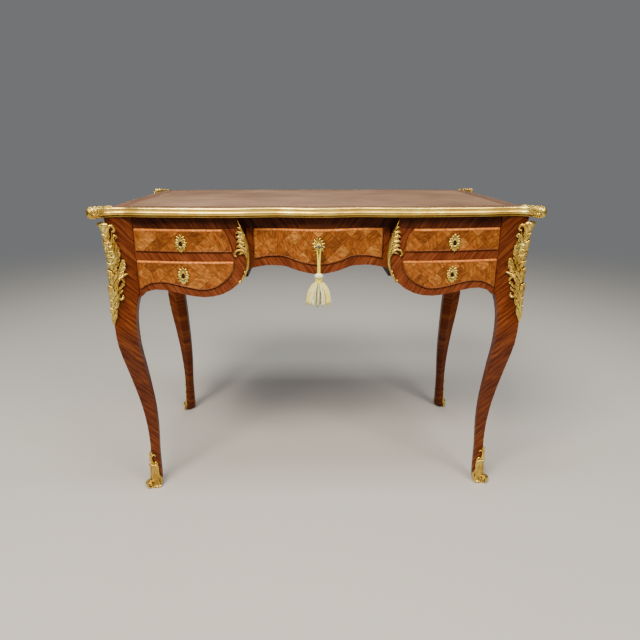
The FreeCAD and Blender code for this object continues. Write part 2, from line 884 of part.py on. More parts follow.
def front_board(outline, points, key_x, key_z, lock_case):
    """A drawer front: a board with a raised, stepped field, pierced for the key."""
    board = elevation(outline(0)).common(slab(points, 0, front_thickness))
    field = elevation(outline(-front_step)).common(slab(points, -front_proud, 0))
    whole = fused([only(board), only(field)])
    return only(whole.cut(keyhole(key_x, key_z)).cut(lock_case))


def drawer_box(x_low, x_high, z_low, z_high, points):
    """Two sides, a back and a bottom, each its own board, behind a drawer front."""
    y_front = belly_setback - half_depth
    y_back = box_back_y
    cut = slab(points, -overrun * 2, front_thickness)
    z_floor = z_low + bottom_rise
    near = x_low + side_board
    far = x_high - side_board
    sides = [
        only(box(x_low, near, y_front, y_back, z_low, z_high).cut(cut)),
        only(box(far, x_high, y_front, y_back, z_low, z_high).cut(cut)),
    ]
    back = box(near, far, y_back - side_board, y_back, z_low, z_high - bottom_rise)
    floor = only(box(near, far, y_front, y_back - side_board, z_floor, z_floor + bottom_board).cut(cut))
    return sides + [back, floor]


def lock_outer(x, face_y, key_z, top):
    """The block that a lock case fills."""
    half = lock_width / 2
    y_low = face_y + lock_setback
    return box(x - half, x + half, y_low, y_low + lock_depth, key_z - lock_below, top)


def lock_case_solid(x, face_y, key_z, top):
    """The brass case, hollow, with a keyhole in front and a slot above for the bolt."""
    shell = lock_outer(x, face_y, key_z, top)
    half = lock_width / 2 - lock_wall
    y_low = face_y + lock_setback + lock_wall
    y_high = y_low + lock_depth - 2 * lock_wall
    room = box(x - half, x + half, y_low, y_high, key_z - lock_below + lock_wall, top - lock_wall)
    slot = bolt_bar(x, face_y, key_z, top + overrun, bolt_clearance)
    front_room = box(x - half, x + half, -half_depth - overrun, y_low, 0, table_height)
    front_hole = keyhole(x, key_z).common(front_room)
    return only(shell.cut(room).cut(slot).cut(front_hole))


def bolt_bar(x, face_y, key_z, top, grow):
    """The bolt's upright bar, or the slot for it."""
    middle = face_y + lock_setback + lock_depth / 2
    half = bolt_width / 2 + grow
    deep = bolt_thickness / 2 + grow
    return box(x - half, x + half, middle - deep, middle + deep, key_z + bolt_above_key, top)


def lock_bolt_solid(x, face_y, key_z, top):
    """The bolt: a bar with a wide tail that keeps it in the case."""
    middle = face_y + lock_setback + lock_depth / 2
    half = bolt_tail_width / 2
    deep = bolt_thickness / 2
    foot = key_z + bolt_above_key
    tail = box(x - half, x + half, middle - deep, middle + deep, foot, foot + bolt_tail_height)
    return fused([bolt_bar(x, face_y, key_z, top - bolt_clearance, 0), tail])


lobe_count = 9
lobe_dip_share = 0.86


def escutcheon_solid(x, z, half_width, half_height, points):
    """A lobed keyhole plate that follows the curve of the drawer front."""
    stretches = []
    for i in range(lobe_count):
        arc = []
        for step, share in ((0, lobe_dip_share), (0.5, 1), (1, lobe_dip_share)):
            turn = 2 * math.pi * ((i + step) % lobe_count) / lobe_count + math.pi / 2
            arc.append((x + half_width * share * math.cos(turn), z + half_height * share * math.sin(turn)))
        stretches.append(arc)
    near = -front_proud - escutcheon_thickness
    plate = elevation(stretches, per_arc=flats_per_lobe).common(slab(points, near, -front_proud))
    return only(plate.cut(keyhole(x, z)))


def key_solid():
    """The key in the centre lock, a quarter turn on: a level oval bow, a shank and a bit."""
    y_tip = centre_lock_y + lock_setback + lock_depth - lock_wall - bolt_clearance
    y_bow = centre_lock_y - front_proud - key_out
    y_end = y_bow - bow_bar / 2
    shank = Part.makeCylinder(key_radius, y_tip - y_end, V(0, y_end, keyhole_centre_z), V(0, 1, 0))
    z_bit = keyhole_centre_z - key_bit_thickness / 2
    bit = box(0, key_bit_reach, y_tip - key_bit_length, y_tip, z_bit, z_bit + key_bit_thickness)
    y_ring = y_bow - bow_half_height
    z_low = keyhole_centre_z - bow_thickness / 2
    z_high = z_low + bow_thickness
    outline = [(x, y_ring + y) for x, y in ring_points(bow_half_width, bow_half_height)]
    eye = [(x, y_ring + y) for x, y in ring_points(bow_half_width - bow_bar, bow_half_height - bow_bar)]
    bow = plan(ring_stretches(outline), z_low, z_high).cut(plan(ring_stretches(eye), z_low, z_high))
    return fused([only(bow), shank, bit])


# Shoulder scroll, in elevation, as shares of the pedestal's width and height
scroll_outer_shares = [
    (0.084, 0.965), (0.038, 0.845), (0.016, 0.73), (0, 0.61), (-0.006, 0.507), (0.005, 0.387), (0.038, 0.275),
    (0.077, 0.2),
]
scroll_inner_shares = [
    (0.099, 0.218), (0.064, 0.3), (0.033, 0.4), (0.023, 0.507), (0.03, 0.61), (0.046, 0.73), (0.062, 0.835),
    (0.092, 0.965),
]
hook_outer_shares = [(0.012, 0.53), (0.072, 0.635), (0.125, 0.53)]
hook_inner_shares = [(0.108, 0.53), (0.07, 0.592), (0.032, 0.53)]
crest_shares = [
    [(0.02, 0.64), (0.095, 0.63), (0.082, 0.69)],
    [(0.082, 0.69), (0.094, 0.717), (0.08, 0.745)],
    [(0.08, 0.745), (0.094, 0.772), (0.08, 0.8)],
    [(0.08, 0.8), (0.092, 0.83), (0.075, 0.86)],
    [(0.075, 0.86), (0.04, 0.8), (0.02, 0.64)],
]


def scroll_points(shares):
    """Places on the pedestal's front from shares of its width and height."""
    height = board_bottom - apron_bottom
    return [(kneehole_x + pedestal_width * across, apron_bottom + height * rise) for across, rise in shares]


def shoulder_scroll():
    """The gilt scroll on the right shoulder: spine, leafy crest, hook and ball."""
    outer = scroll_points(scroll_outer_shares)
    inner = scroll_points(scroll_inner_shares)
    spine = elevation([outer, [outer[-1], inner[0]], inner, [inner[-1], outer[0]]])
    hook_out = scroll_points(hook_outer_shares)
    hook_in = scroll_points(hook_inner_shares)
    hook = elevation([hook_out, [hook_out[-1], hook_in[0]], hook_in, [hook_in[-1], hook_out[0]]])
    crest = elevation([scroll_points(arc) for arc in crest_shares])
    ball_x = (outer[-1][0] + inner[0][0]) / 2
    ball_z = (outer[-1][1] + inner[0][1]) / 2
    ball = rod(ball_x, ball_z, scroll_ball_radius, -half_depth, half_depth)
    band = slab(pedestal_plan(), -scroll_thickness, 0)
    flat = [only(shape.common(band)) for shape in (spine, hook, crest, ball)]
    return fused(flat)


# Tassel


# One strand of the loop from the head up to the key, as shares of the loop's half width and of its hang
strand_shares = [(0.408, -1), (0.449, -0.583), (1, -0.2205)]
arc_share = 0.45


def cord_tube(points, diameter):
    """A tube of straight runs joined by tangent arcs; prints its radii and length."""
    edges = []
    last = points[0]
    radii = []
    for before, corner, after in zip(points, points[1:], points[2:]):
        into = (corner - before).normalize()
        out = (after - corner).normalize()
        turn = math.acos(max(-1, min(1, into.dot(out))))
        shorter = min(before.distanceToPoint(corner), corner.distanceToPoint(after))
        cut = arc_share * shorter
        radius = cut / math.tan(turn / 2)
        radii.append(round(radius, 1))
        start = corner - into * cut
        end = corner + out * cut
        inward = (out - into).normalize()
        middle = corner + inward * (radius / math.cos(turn / 2) - radius)
        edges.append(Part.LineSegment(last, start).toShape())
        edges.append(Part.Arc(start, middle, end).toShape())
        last = end
    edges.append(Part.LineSegment(last, points[-1]).toShape())
    path = Part.Wire(edges)
    ring = Part.Wire(Part.makeCircle(diameter / 2, points[0], points[1] - points[0]))
    tube = path.makePipeShell([ring], True, False)
    section = math.pi * diameter * diameter / 4
    print("cord radii", radii, "length", round(path.Length, 2))
    print("cord volume ratio", tube.Volume / (section * path.Length))
    return tube


def tassel_loop():
    """The cord that the tassel hangs by, looped over the shank."""
    strand = [(loop_half_width * out, tassel_hang * rise) for out, rise in strand_shares]
    strand.append((loop_half_width, loop_over_key))
    route = [(-x, z) for x, z in strand] + strand[::-1]
    return cord_tube([V(x, tassel_y, keyhole_centre_z + z) for x, z in route], cord_diameter)


def level_ring(z, half_width, half_deep):
    """A level ring of the tassel at a height."""
    return [V(x, tassel_y + y, z) for x, y in ring_points(half_width, half_deep)]


# Height share of the fringe, with its width and depth as shares of their largest
skirt_shares = [
    (0, 1, 1), (0.05, 1, 0.99), (0.2, 0.95, 0.96), (0.35, 0.86, 0.9), (0.5, 0.75, 0.84), (0.65, 0.61, 0.76),
    (0.8, 0.44, 0.69), (0.92, 0.31, 0.665), (1, 0.255, 0.66),
]


def tassel_skirt():
    """The fringe as one bell-shaped solid, flattened in depth as a hanging fringe lies."""
    bottom = tassel_head_top - tassel_head_height - tassel_waist_height - skirt_length
    rings = []
    for rise, spread, deep in skirt_shares:
        z = bottom + skirt_length * rise
        rings.append(level_ring(z, skirt_half_width * spread, skirt_half_depth * deep))
    return faceted_solid(rings)


# Height share of the head, with its radius as a share of the largest
head_shares = [(1, 0.34), (0.93, 0.66), (0.78, 0.9), (0.55, 1), (0.3, 0.95), (0.1, 0.82), (0, 0.76)]


def tassel_head():
    """The turned head and the bound waist below it."""
    ball_low = tassel_head_top - tassel_head_height
    rings = []
    for rise, spread in head_shares:
        radius = tassel_head_radius * spread
        rings.append(level_ring(ball_low + tassel_head_height * rise, radius, radius))
    rings.append(level_ring(ball_low - tassel_waist_height, tassel_waist_radius, tassel_waist_radius))
    return faceted_solid(rings)


# Building the nodes


leather = leather_solid()
board = board_solid(leather)
leg = leg_solid()
clasps = four_corners(clasp_solid())
save("leather_writing_surface", leather)
save("top_board", board)
save("corner_clasps", *clasps.values())

front_moulding = moulding_run(front_edge_points, clasps.values())
side_moulding = moulding_run(side_edge_points, clasps.values())
save("edge_moulding", front_moulding, back_of(front_moulding), side_moulding, left_of(side_moulding))

for corner, shape in four_corners(leg).items():
    save("leg_" + corner, shape)
for corner, shape in four_corners(sabot_solid(leg)).items():
    save("sabot_" + corner, shape)
save("leg_chutes", *four_corners(chute_solid(leg)).values())

pieces = front_frame()
rail = top_rail(pieces)
save("front_top_rail", rail)
save("centre_apron_rail", pieces["centre_apron_rail"])
save("centre_stiles", pieces["centre_stile"], left_of(pieces["centre_stile"]))
mid_rail = only(pieces["mid_rail"].cut(bolt_mortise(lock_x, lock_y, lower_drawer_top + drawer_gap)))
save("mid_rails", mid_rail, left_of(mid_rail))
back_pedestal = back_of(pieces["whole_pedestal"])
back_centre = only(back_of(pieces["whole_centre"]).cut(back_pedestal).cut(left_of(back_pedestal)))
panel = kneehole_panel(rail, back_centre)
apron = side_apron()
scroll = shoulder_scroll()
hands = {"right": lambda shape: shape, "left": left_of}
for hand, turn_to in hands.items():
    save("lower_rail_" + hand, turn_to(pieces["lower_rail"]))
    save("kneehole_stile_" + hand, turn_to(pieces["kneehole_stile"]))
    save("kneehole_panel_" + hand, turn_to(panel))
    save("side_apron_" + hand, turn_to(apron))
    save("shoulder_scroll_" + hand, turn_to(scroll))

save("back_frame", back_pedestal, left_of(back_pedestal), back_centre)
sham_fields = []
for outline in (upper_outline, lower_outline):
    field = only(elevation(outline(-front_step)).common(slab(pedestal_plan(), -front_proud, 0)))
    sham_fields += [back_of(field), left_of(back_of(field))]
centre_field = only(elevation(centre_outline(-front_step)).common(slab(centre_plan(), -front_proud, 0)))
sham_fields.append(back_of(centre_field))
save("sham_drawer_fronts", *sham_fields)

strips = side_runners() + [centre_runner()]
save("drawer_runners", *strips, *[left_of(strip) for strip in strips])
blocks = glue_blocks()
save("glue_blocks", *blocks, *[left_of(block) for block in blocks])

upper_box_top = drawer_top - box_headroom
lower_box_top = lower_drawer_top - lower_box_headroom
side_drawers = {
    "upper": (upper_outline, keyhole_upper_z, drawer_top, upper_box_bottom, upper_box_top),
    "lower": (lower_outline, keyhole_lower_z, lower_drawer_top, lower_box_bottom, lower_box_top),
}
for level, (outline, key_z, top, box_low, box_high) in side_drawers.items():
    case = lock_case_solid(lock_x, lock_y, key_z, top)
    block = lock_outer(lock_x, lock_y, key_z, top)
    bolt = lock_bolt_solid(lock_x, lock_y, key_z, top)
    front = front_board(outline, pedestal_plan(), lock_x, key_z, block)
    plate = escutcheon_solid(lock_x, key_z, escutcheon_half_width, escutcheon_half_height, pedestal_plan())
    boards = drawer_box(box_inner_x, box_outer_x, box_low, box_high, pedestal_plan())
    boards = [only(wood.cut(block)) for wood in boards]
    for hand, turn_to in hands.items():
        name = level + "_" + hand + "_drawer_"
        save(name + "front", turn_to(front))
        save(name + "box", *[turn_to(wood) for wood in boards])
        save(name + "lock", turn_to(case))
        save(name + "bolt", turn_to(bolt))
        save(name + "escutcheon", turn_to(plate))

centre_lock = (0, centre_lock_y, keyhole_centre_z, drawer_top)
save("centre_drawer_lock", lock_case_solid(*centre_lock))
save("centre_drawer_bolt", lock_bolt_solid(*centre_lock))
centre_front = front_board(centre_outline, centre_plan(), 0, keyhole_centre_z, lock_outer(*centre_lock))
save("centre_drawer_front", centre_front)
centre_boards = drawer_box(-centre_box_half, centre_box_half, centre_box_bottom, upper_box_top, centre_plan())
save("centre_drawer_box", *centre_boards)
centre_plate = escutcheon_solid(
    0, keyhole_centre_z, centre_escutcheon_half_width, centre_escutcheon_half_height, centre_plan()
)
save("centre_drawer_escutcheon", centre_plate)
save("key", key_solid())
save("tassel_loop", tassel_loop())
save("tassel_head", tassel_head())
save("tassel_skirt", tassel_skirt())
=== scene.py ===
import math
import random

import bmesh
import bpy
from mathutils import Matrix, Vector


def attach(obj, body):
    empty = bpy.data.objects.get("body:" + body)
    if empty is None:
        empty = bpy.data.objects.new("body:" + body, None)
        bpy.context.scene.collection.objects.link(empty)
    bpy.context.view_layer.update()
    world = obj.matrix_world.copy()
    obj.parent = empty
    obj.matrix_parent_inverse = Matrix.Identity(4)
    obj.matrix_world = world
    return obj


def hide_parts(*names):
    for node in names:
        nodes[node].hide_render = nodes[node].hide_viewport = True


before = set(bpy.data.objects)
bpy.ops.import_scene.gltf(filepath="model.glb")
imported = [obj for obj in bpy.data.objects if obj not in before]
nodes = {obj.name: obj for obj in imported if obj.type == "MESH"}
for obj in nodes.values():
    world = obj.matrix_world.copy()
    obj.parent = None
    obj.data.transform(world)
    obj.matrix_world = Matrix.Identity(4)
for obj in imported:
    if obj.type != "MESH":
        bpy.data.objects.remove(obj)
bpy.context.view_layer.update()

MM = 0.001

# Stage and light
# A plain pale floor under a soft grey studio sky, with one large lamp above the sitter's
# left, a broad fill from the right, a long strip overhead that the polished wood mirrors and
# a weak lamp behind.


def srgb(text):
    """A hex colour as linear red, green, blue and alpha."""
    parts = [int(text[i:i + 2], 16) / 255 for i in (1, 3, 5)]
    return tuple(c / 12.92 if c <= 0.04045 else ((c + 0.055) / 1.055) ** 2.4 for c in parts) + (1.0,)


def new_material(name):
    """An empty material, what adds its nodes, and the piece's own coordinates in metres."""
    material = bpy.data.materials.new(name)
    material.use_nodes = True
    tree = material.node_tree
    tree.nodes.clear()

    def add(kind, inputs, stops=(), **settings):
        """Adds a shader node; an input is a value, a socket, or a node whose first output feeds it."""
        node = tree.nodes.new("ShaderNode" + kind)
        for key, value in settings.items():
            setattr(node, key, value)
        for key, value in inputs.items():
            if isinstance(value, bpy.types.Node):
                value = value.outputs[0]
            if isinstance(value, bpy.types.NodeSocket):
                tree.links.new(value, node.inputs[key])
            else:
                node.inputs[key].default_value = value
        while stops and len(node.color_ramp.elements) < len(stops):
            node.color_ramp.elements.new(0.5)
        for number, (place, colour) in enumerate(stops):
            node.color_ramp.elements[number].position = place
            node.color_ramp.elements[number].color = srgb(colour)
        return node

    return material, add, add("TexCoord", {}).outputs["Object"]


soft_step = {"interpolation_type": "SMOOTHSTEP"}
floor_reach = 6.0
floor_solid_to = 1.3
floor_gone_from = 4.5
bpy.ops.mesh.primitive_plane_add(size=2 * floor_reach, location=(0, 0, 0))
floor = bpy.context.object
floor.name = "studio_floor"
material, add, place = new_material("pale_studio_floor")
away = add("VectorMath", {0: place}, operation="LENGTH").outputs["Value"]
melt = add("MapRange", {0: away, 1: floor_solid_to, 2: floor_gone_from}, **soft_step)
matt = add("BsdfPrincipled", {"Base Color": srgb("#c2beb5"), "Roughness": 0.9})
clear = add("BsdfTransparent", {})
add("OutputMaterial", {0: add("MixShader", {0: melt, 1: matt, 2: clear})})
floor.data.materials.append(material)

world = bpy.data.worlds.new("studio_sky")
world.use_nodes = True
world.node_tree.nodes["Background"].inputs[0].default_value = srgb("#c4c6c8")
world.node_tree.nodes["Background"].inputs[1].default_value = 0.31
bpy.context.scene.world = world

table_middle = Vector((0, 0, 0.6))
for name, place, width, height, watts, colour in (
    ("key_lamp", (-0.9, -1.9, 2.9), 1.4, 0.8, 123, "#fff4e6"),
    ("fill_lamp", (1.5, -2.0, 2.5), 1.2, 1.0, 50, "#fff6ec"),
    ("top_strip", (0, -0.5, 2.9), 2.6, 0.6, 48, "#ffffff"),
    ("back_lamp", (-0.2, 2.2, 3.2), 1.6, 1.0, 20, "#f4f4ff"),
):
    light = bpy.data.lights.new(name, "AREA")
    light.shape = "RECTANGLE"
    light.size = width
    light.size_y = height
    light.energy = watts
    light.color = srgb(colour)[:3]
    lamp = bpy.data.objects.new(name, light)
    bpy.context.collection.objects.link(lamp)
    aim = (table_middle - Vector(place)).to_track_quat("-Z", "Y")
    lamp.matrix_world = Matrix.Translation(place) @ aim.to_matrix().to_4x4()

# Camera
# The photograph's viewing place: a little left of the middle and 0.90 m up, looking 18.4
# degrees down. The focal length is 515 pixels in a frame 640 pixels wide.
focal_pixels = 515.0
frame_pixels = 640.0
sensor_mm = 36.0
camera_place = Vector((-0.0291, -1.4686, 0.8983))
pitch = 0.321528
yaw = 0.0268
roll = -0.00081

camera_data = bpy.data.cameras.new("photo_camera")
camera_data.sensor_width = sensor_mm
camera_data.lens = focal_pixels / frame_pixels * sensor_mm
camera = bpy.data.objects.new("photo_camera", camera_data)
bpy.context.collection.objects.link(camera)
ahead = Vector((math.sin(yaw) * math.cos(pitch), math.cos(yaw) * math.cos(pitch), -math.sin(pitch)))
level = Vector((math.cos(yaw), -math.sin(yaw), 0))
down = ahead.cross(level)
right = level * math.cos(roll) + down * math.sin(roll)
above = level * math.sin(roll) - down * math.cos(roll)
camera_axes = Matrix((right, above, -ahead)).transposed().to_4x4()
camera.matrix_world = Matrix.Translation(camera_place) @ camera_axes
bpy.context.scene.camera = camera

# Solid woodwork
# Legs, rails, stiles and side panels are oak or beech under kingwood veneer about 1 mm thick,
# glued down, scraped and French polished. Kingwood is violet brown with fine dark stripes,
# and shellac gives it a deep, slightly uneven shine.

# Length, width and width in mm, coarser than the real stripes so that they show
stripe = (71.43, 1.786, 1.786)
figure = (111.1, 5.405, 5.405)
warping = (71.43,) * 3
patch = (166.7,) * 3


def grain(add, place, sizes, detail=2.0, roughness=0.5):
    """Noise with cells of the given sizes in mm."""
    counts = add("Mapping", {"Vector": place, "Scale": [1 / (size * MM) for size in sizes]})
    return add("TexNoise", {"Vector": counts, "Scale": 1.0, "Detail": detail, "Roughness": roughness})


def veneer(name, colours, turn, shine=0.26, coat=0.07, mirrored=False):
    """French-polished veneer whose grain runs along local x after a turn."""
    material, add, place = new_material(name)
    patches = grain(add, place, patch)
    if mirrored:
        parts = add("SeparateXYZ", {0: add("VectorMath", {0: place}, operation="ABSOLUTE")})
        round_corner = add("Math", {0: parts.outputs[0], 1: parts.outputs[1]})
        place = add("CombineXYZ", {0: round_corner, 2: parts.outputs[2]})
    turned = add("Mapping", {"Vector": place, "Rotation": turn})
    warp = grain(add, turned, warping).outputs[1]
    bent = add("MixRGB", {0: 0.012, 1: turned, 2: warp}, blend_type="ADD")
    stripes = grain(add, bent, stripe, 3.0, 0.6)
    both = add("Mix", {0: 0.5, 2: stripes, 3: grain(add, bent, figure)})
    colour = add("ValToRGB", {0: both}, stops=tuple(zip((0.36, 0.5, 0.64), colours)))
    wear = add("MapRange", {0: patches, 1: 0.35, 2: 0.7}, **soft_step)
    worn = add("MixRGB", {0: wear, 1: srgb("#b08a7a"), 2: srgb("#ffffff")})
    colour = add("MixRGB", {0: 0.25, 1: colour, 2: worn}, blend_type="MULTIPLY")
    rough = add("MapRange", {0: patches, 1: 0.3, 2: 0.7, 3: shine, 4: shine + 0.12})
    bump = add("Bump", {"Height": stripes, "Strength": 0.12, "Distance": 0.4 * MM})
    add("OutputMaterial", {0: add("BsdfPrincipled", {
        "Base Color": colour, "Roughness": rough, "Normal": bump, "Specular IOR Level": 0.13,
        "Coat Weight": coat, "Coat Roughness": 0.12,
    })})
    return material


kingwood = ("#3b1208", "#642c0e", "#84471c")
rail_kingwood = ("#4f1c0d", "#75391a", "#92522b")
# Darker kingwood for the top rail: painted shade for the shadow under the board and moulding
top_rail_painted_shade_kingwood = ("#2e0f05", "#4b220d", "#64371b")
border_kingwood = ("#5a3520", "#765035", "#8e6a4c")
quarter = math.pi / 2
leg_lean = (0, math.radians(40), 0)
rail_lean = (0, math.radians(58), 0)
leg_grain = veneer("kingwood_veneer_on_legs", kingwood, leg_lean, mirrored=True)
rail_grain = veneer("kingwood_crossbanding", rail_kingwood, rail_lean, mirrored=True)
top_rail_painted_shade_grain = veneer("kingwood_with_painted_shade_of_top_rail", top_rail_painted_shade_kingwood, rail_lean, mirrored=True)
border_grain = veneer("kingwood_border_of_top", border_kingwood, (0, 0, quarter), 0.22)
side_grain = veneer("kingwood_veneer_on_sides", rail_kingwood, (0, quarter, 0))

arris_rounding = 0.6 * MM


def dress(name, material):
    """Gives a node of the frame its finish, and its arrises a fine rounding."""
    thing = nodes[name]
    thing.data.materials.clear()
    thing.data.materials.append(material)
    weld = thing.modifiers.new("joined_corners", "WELD")
    weld.merge_threshold = 0.02 * MM
    rounding = thing.modifiers.new("softened_arris", "BEVEL")
    rounding.width = arris_rounding
    rounding.segments = 2
    rounding.limit_method = "ANGLE"
    rounding.angle_limit = math.radians(35)
    rounding.harden_normals = False
    for polygon in thing.data.polygons:
        polygon.use_smooth = True
    thing.modifiers.new("even_shading", "WEIGHTED_NORMAL")


for corner in ("front_right", "front_left", "back_right", "back_left"):
    dress("leg_" + corner, leg_grain)
# The top rail takes the darker kingwood, painted shade
dress("front_top_rail", top_rail_painted_shade_grain)
for name in ("centre_apron_rail", "centre_stiles", "mid_rails", "back_frame"):
    dress(name, rail_grain)
for hand in ("right", "left"):
    dress("lower_rail_" + hand, rail_grain)
    dress("kneehole_stile_" + hand, rail_grain)
    dress("side_apron_" + hand, side_grain)
dress("top_board", border_grain)

# Hidden oak
# Drawer boxes, runners and glue blocks are plain quarter-sawn oak, planed and left bare, so
# it is pale, dry and open-grained. The kneehole's walls are oak coloured very dark: painted
# shade for the deep shadow in the kneehole.
oak_grain = veneer("bare_oak", ("#694d2f", "#8b6d49", "#a48761"), (0, 0, quarter), shine=0.6, coat=0.0)
# Very dark oak for the kneehole's walls: painted shade for its deep shadow
kneehole_painted_shade_colours = ("#180a04", "#2b150b", "#3f2112")
painted_shade_dark_oak = veneer("oak_darkened_as_painted_shade", kneehole_painted_shade_colours, (0, 0, quarter), shine=0.45)
drawer_names = ("upper_right", "upper_left", "lower_right", "lower_left", "centre")
for name in ("drawer_runners", "glue_blocks"):
    dress(name, oak_grain)
for name in ("kneehole_panel_right", "kneehole_panel_left"):
    dress(name, painted_shade_dark_oak)
for drawer in drawer_names:
    dress(drawer + "_drawer_box", oak_grain)

# Drawer fronts
# Oak boards faced with lozenges of tulipwood and kingwood 38 by 35 mm, each cut with its own
# grain direction, inside a rounded lip of cross-cut tulipwood. French polished.
lozenge_width = 38 * MM
lozenge_height = 35 * MM
# Length, width and width in mm of the grain's streaks, its swirls and its mottled figure
streak = (22.22, 3.571, 3.571)
swirling = (25,) * 3
mottle = (9.524,) * 3

tulipwood, add, place = new_material("tulipwood_parquetry")
parts = add("SeparateXYZ", {0: place})
across = add("Math", {0: parts.outputs[0], 1: lozenge_width}, operation="DIVIDE")
upward = add("Math", {0: parts.outputs[2], 1: lozenge_height}, operation="DIVIDE")
runs = [add("Math", {0: across, 1: upward}, operation=way) for way in ("ADD", "SUBTRACT")]
# Each lozenge draws its own tone and its own grain direction
lozenge = add("CombineXYZ", {i: add("Math", {0: run}, operation="FLOOR") for i, run in enumerate(runs)})
chance = add("TexWhiteNoise", {"Vector": lozenge})
turn = add("Math", {0: chance, 1: math.pi}, operation="MULTIPLY")
turned = add("VectorRotate", {"Vector": place, "Angle": turn}, rotation_type="Y_AXIS")
bent = add("MixRGB", {0: 0.005, 1: turned, 2: grain(add, turned, swirling).outputs[1]}, blend_type="ADD")
streaks = grain(add, bent, streak, 3.0)
colour = add("ValToRGB", {0: streaks}, stops=((0.25, "#874f21"), (0.5, "#b1722f"), (0.75, "#d19a48")))
tone = ((0.0, "#9a7a62"), (0.45, "#cdb196"), (0.8, "#ecd6ba"), (0.97, "#ffffff"))
mottling = ((0.38, "#8f6a4c"), (0.5, "#dcc2a4"), (0.62, "#ffffff"))
for share, value, stops in ((0.85, chance, tone), (0.5, grain(add, bent, mottle, 3.0, 0.65), mottling)):
    shade = add("ValToRGB", {0: value}, stops=stops)
    colour = add("MixRGB", {0: share, 1: colour, 2: shade}, blend_type="MULTIPLY")
# A dark seam of glue along the lozenges' edges
edges = [add("Math", {0: run, 1: 0.5}, operation="PINGPONG") for run in runs]
nearest = add("Math", {0: edges[0], 1: edges[1]}, operation="MINIMUM")
seam = add("MapRange", {0: nearest, 1: 0.03, 2: 0.003, 4: 0.75}, **soft_step)
colour = add("MixRGB", {0: seam, 1: colour, 2: srgb("#4a2410")})
bump = add("Bump", {"Height": streaks, "Strength": 0.1, "Distance": 0.4 * MM})
add("OutputMaterial", {0: add("BsdfPrincipled", {
    "Base Color": colour, "Roughness": 0.32, "Normal": bump, "Specular IOR Level": 0.2,
    "Coat Weight": 0.12, "Coat Roughness": 0.12,
})})
for drawer in drawer_names:
    dress(drawer + "_drawer_front", tulipwood)
dress("sham_drawer_fronts", tulipwood)

# Writing leather
# Brown calf, dyed and polished, glued into the board. Its grain is fine, and years of writing
# leave it with lighter, smoother patches and long rubbed streaks.
pore = 1.111 * MM
blot = (200,) * 3
rubbed_streak = (200, 16.67, 200)
leather, add, place = new_material("polished_brown_calf")
pores = add("TexVoronoi", {"Vector": place, "Scale": 1 / pore}, feature="SMOOTH_F1")
blots = grain(add, place, blot, 4.0, 0.6)
clouds = add("Mix", {0: 0.45, 2: blots, 3: grain(add, place, rubbed_streak, 4.0, 0.65)})
colour = add("ValToRGB", {0: clouds}, stops=((0.32, "#5f452f"), (0.5, "#7e6047"), (0.66, "#937559")))
rough = add("MapRange", {0: clouds, 1: 0.3, 2: 0.7, 3: 0.42, 4: 0.55})
bump = add("Bump", {"Height": pores, "Strength": 0.15, "Distance": 0.3 * MM})
add("OutputMaterial", {0: add("BsdfPrincipled", {
    "Base Color": colour, "Roughness": rough, "Normal": bump, "Specular IOR Level": 0.2,
    "Coat Weight": 0.03, "Coat Roughness": 0.25,
})})
dress("leather_writing_surface", leather)

# Gilt bronze
# Every mount is bronze cast in sand, chased with steel punches, then mercury gilt: matt and
# brown in the hollows, burnished on the ridges, and darkened in the deepest crevices by painted
# shade.

# In mm: the sand's grain, patches of thicker gold, and the strokes of the chasing
sand = (3.333,) * 3
gold_patch = (40,) * 3
stroke = (3.03, 3.03, 13.33)
painted_shade_reach = 7 * MM


def gilt_bronze(name, cleanness_and_shade, chased=0.0):
    """Mercury gilding: bright on ridges, brown in hollows, slightly pitted, with painted shade in the
    crevices.
    """
    material, add, place = new_material(name)
    height = add("NewGeometry", {}).outputs["Pointiness"]
    ridge = add("MapRange", {0: height, 1: 0.4, 2: 0.545}, **soft_step)
    grains = grain(add, place, sand, 4.0, 0.6)
    gold = add("ValToRGB", {0: grain(add, place, gold_patch, 3.0)}, stops=(
        (0.3, "#e0b44e"), (0.55, "#fbd86c"), (0.75, "#fff58e"),
    ))
    hollow = add("ValToRGB", {0: grains}, stops=((0.35, "#3a250f"), (0.7, "#90702f")))
    # Ambient occlusion darkens the crevices towards the brown: painted shade
    open_share = add("AmbientOcclusion", {"Distance": painted_shade_reach}, samples=8).outputs["AO"]
    painted_crevice_shade = add("MapRange", {0: open_share, 1: 0.2, 2: 0.62}, **soft_step)
    strokes = grain(add, place, stroke)
    proud = add("MapRange", {0: strokes, 1: 0.37, 2: 0.53}, **soft_step)
    shade = add("Math", {0: proud, 1: chased, 2: 1 - chased}, operation="MULTIPLY_ADD")
    gilt_share_after_shade = add("Math", {0: ridge, 1: cleanness_and_shade}, use_clamp=True)
    for cover in (painted_crevice_shade, shade):
        gilt_share_after_shade = add("Math", {0: gilt_share_after_shade, 1: cover}, operation="MULTIPLY")
    rough = add("MapRange", {0: ridge, 3: 0.6, 4: 0.3})
    bump = add("Bump", {"Height": grains, "Strength": 0.2, "Distance": 0.4 * MM})
    bump = add("Bump", {"Height": proud, "Strength": chased, "Distance": 1.2 * MM, "Normal": bump})
    add("OutputMaterial", {0: add("BsdfPrincipled", {
        "Base Color": add("MixRGB", {0: gilt_share_after_shade, 1: hollow, 2: gold}), "Metallic": 1.0, "Roughness": rough,
        "Normal": bump,
    })})
    return material


ormolu = gilt_bronze("mercury_gilt_bronze", 0.0, 0.5)
plain_gilding = gilt_bronze("burnished_gilt_bronze", 0.35)
worn_gilding = gilt_bronze("worn_gilt_bronze", -0.12)
# Much less gold, for the moulding's lower faces: painted shade
underside_painted_shade_gilding = gilt_bronze("gilt_bronze_with_painted_shade", -0.55)

# Castings are shaped in mm on a mount: a mesh, the surface that it lies on as a function of
# (across, up, height off it), and 1 or -1, for the side that "across" runs to.


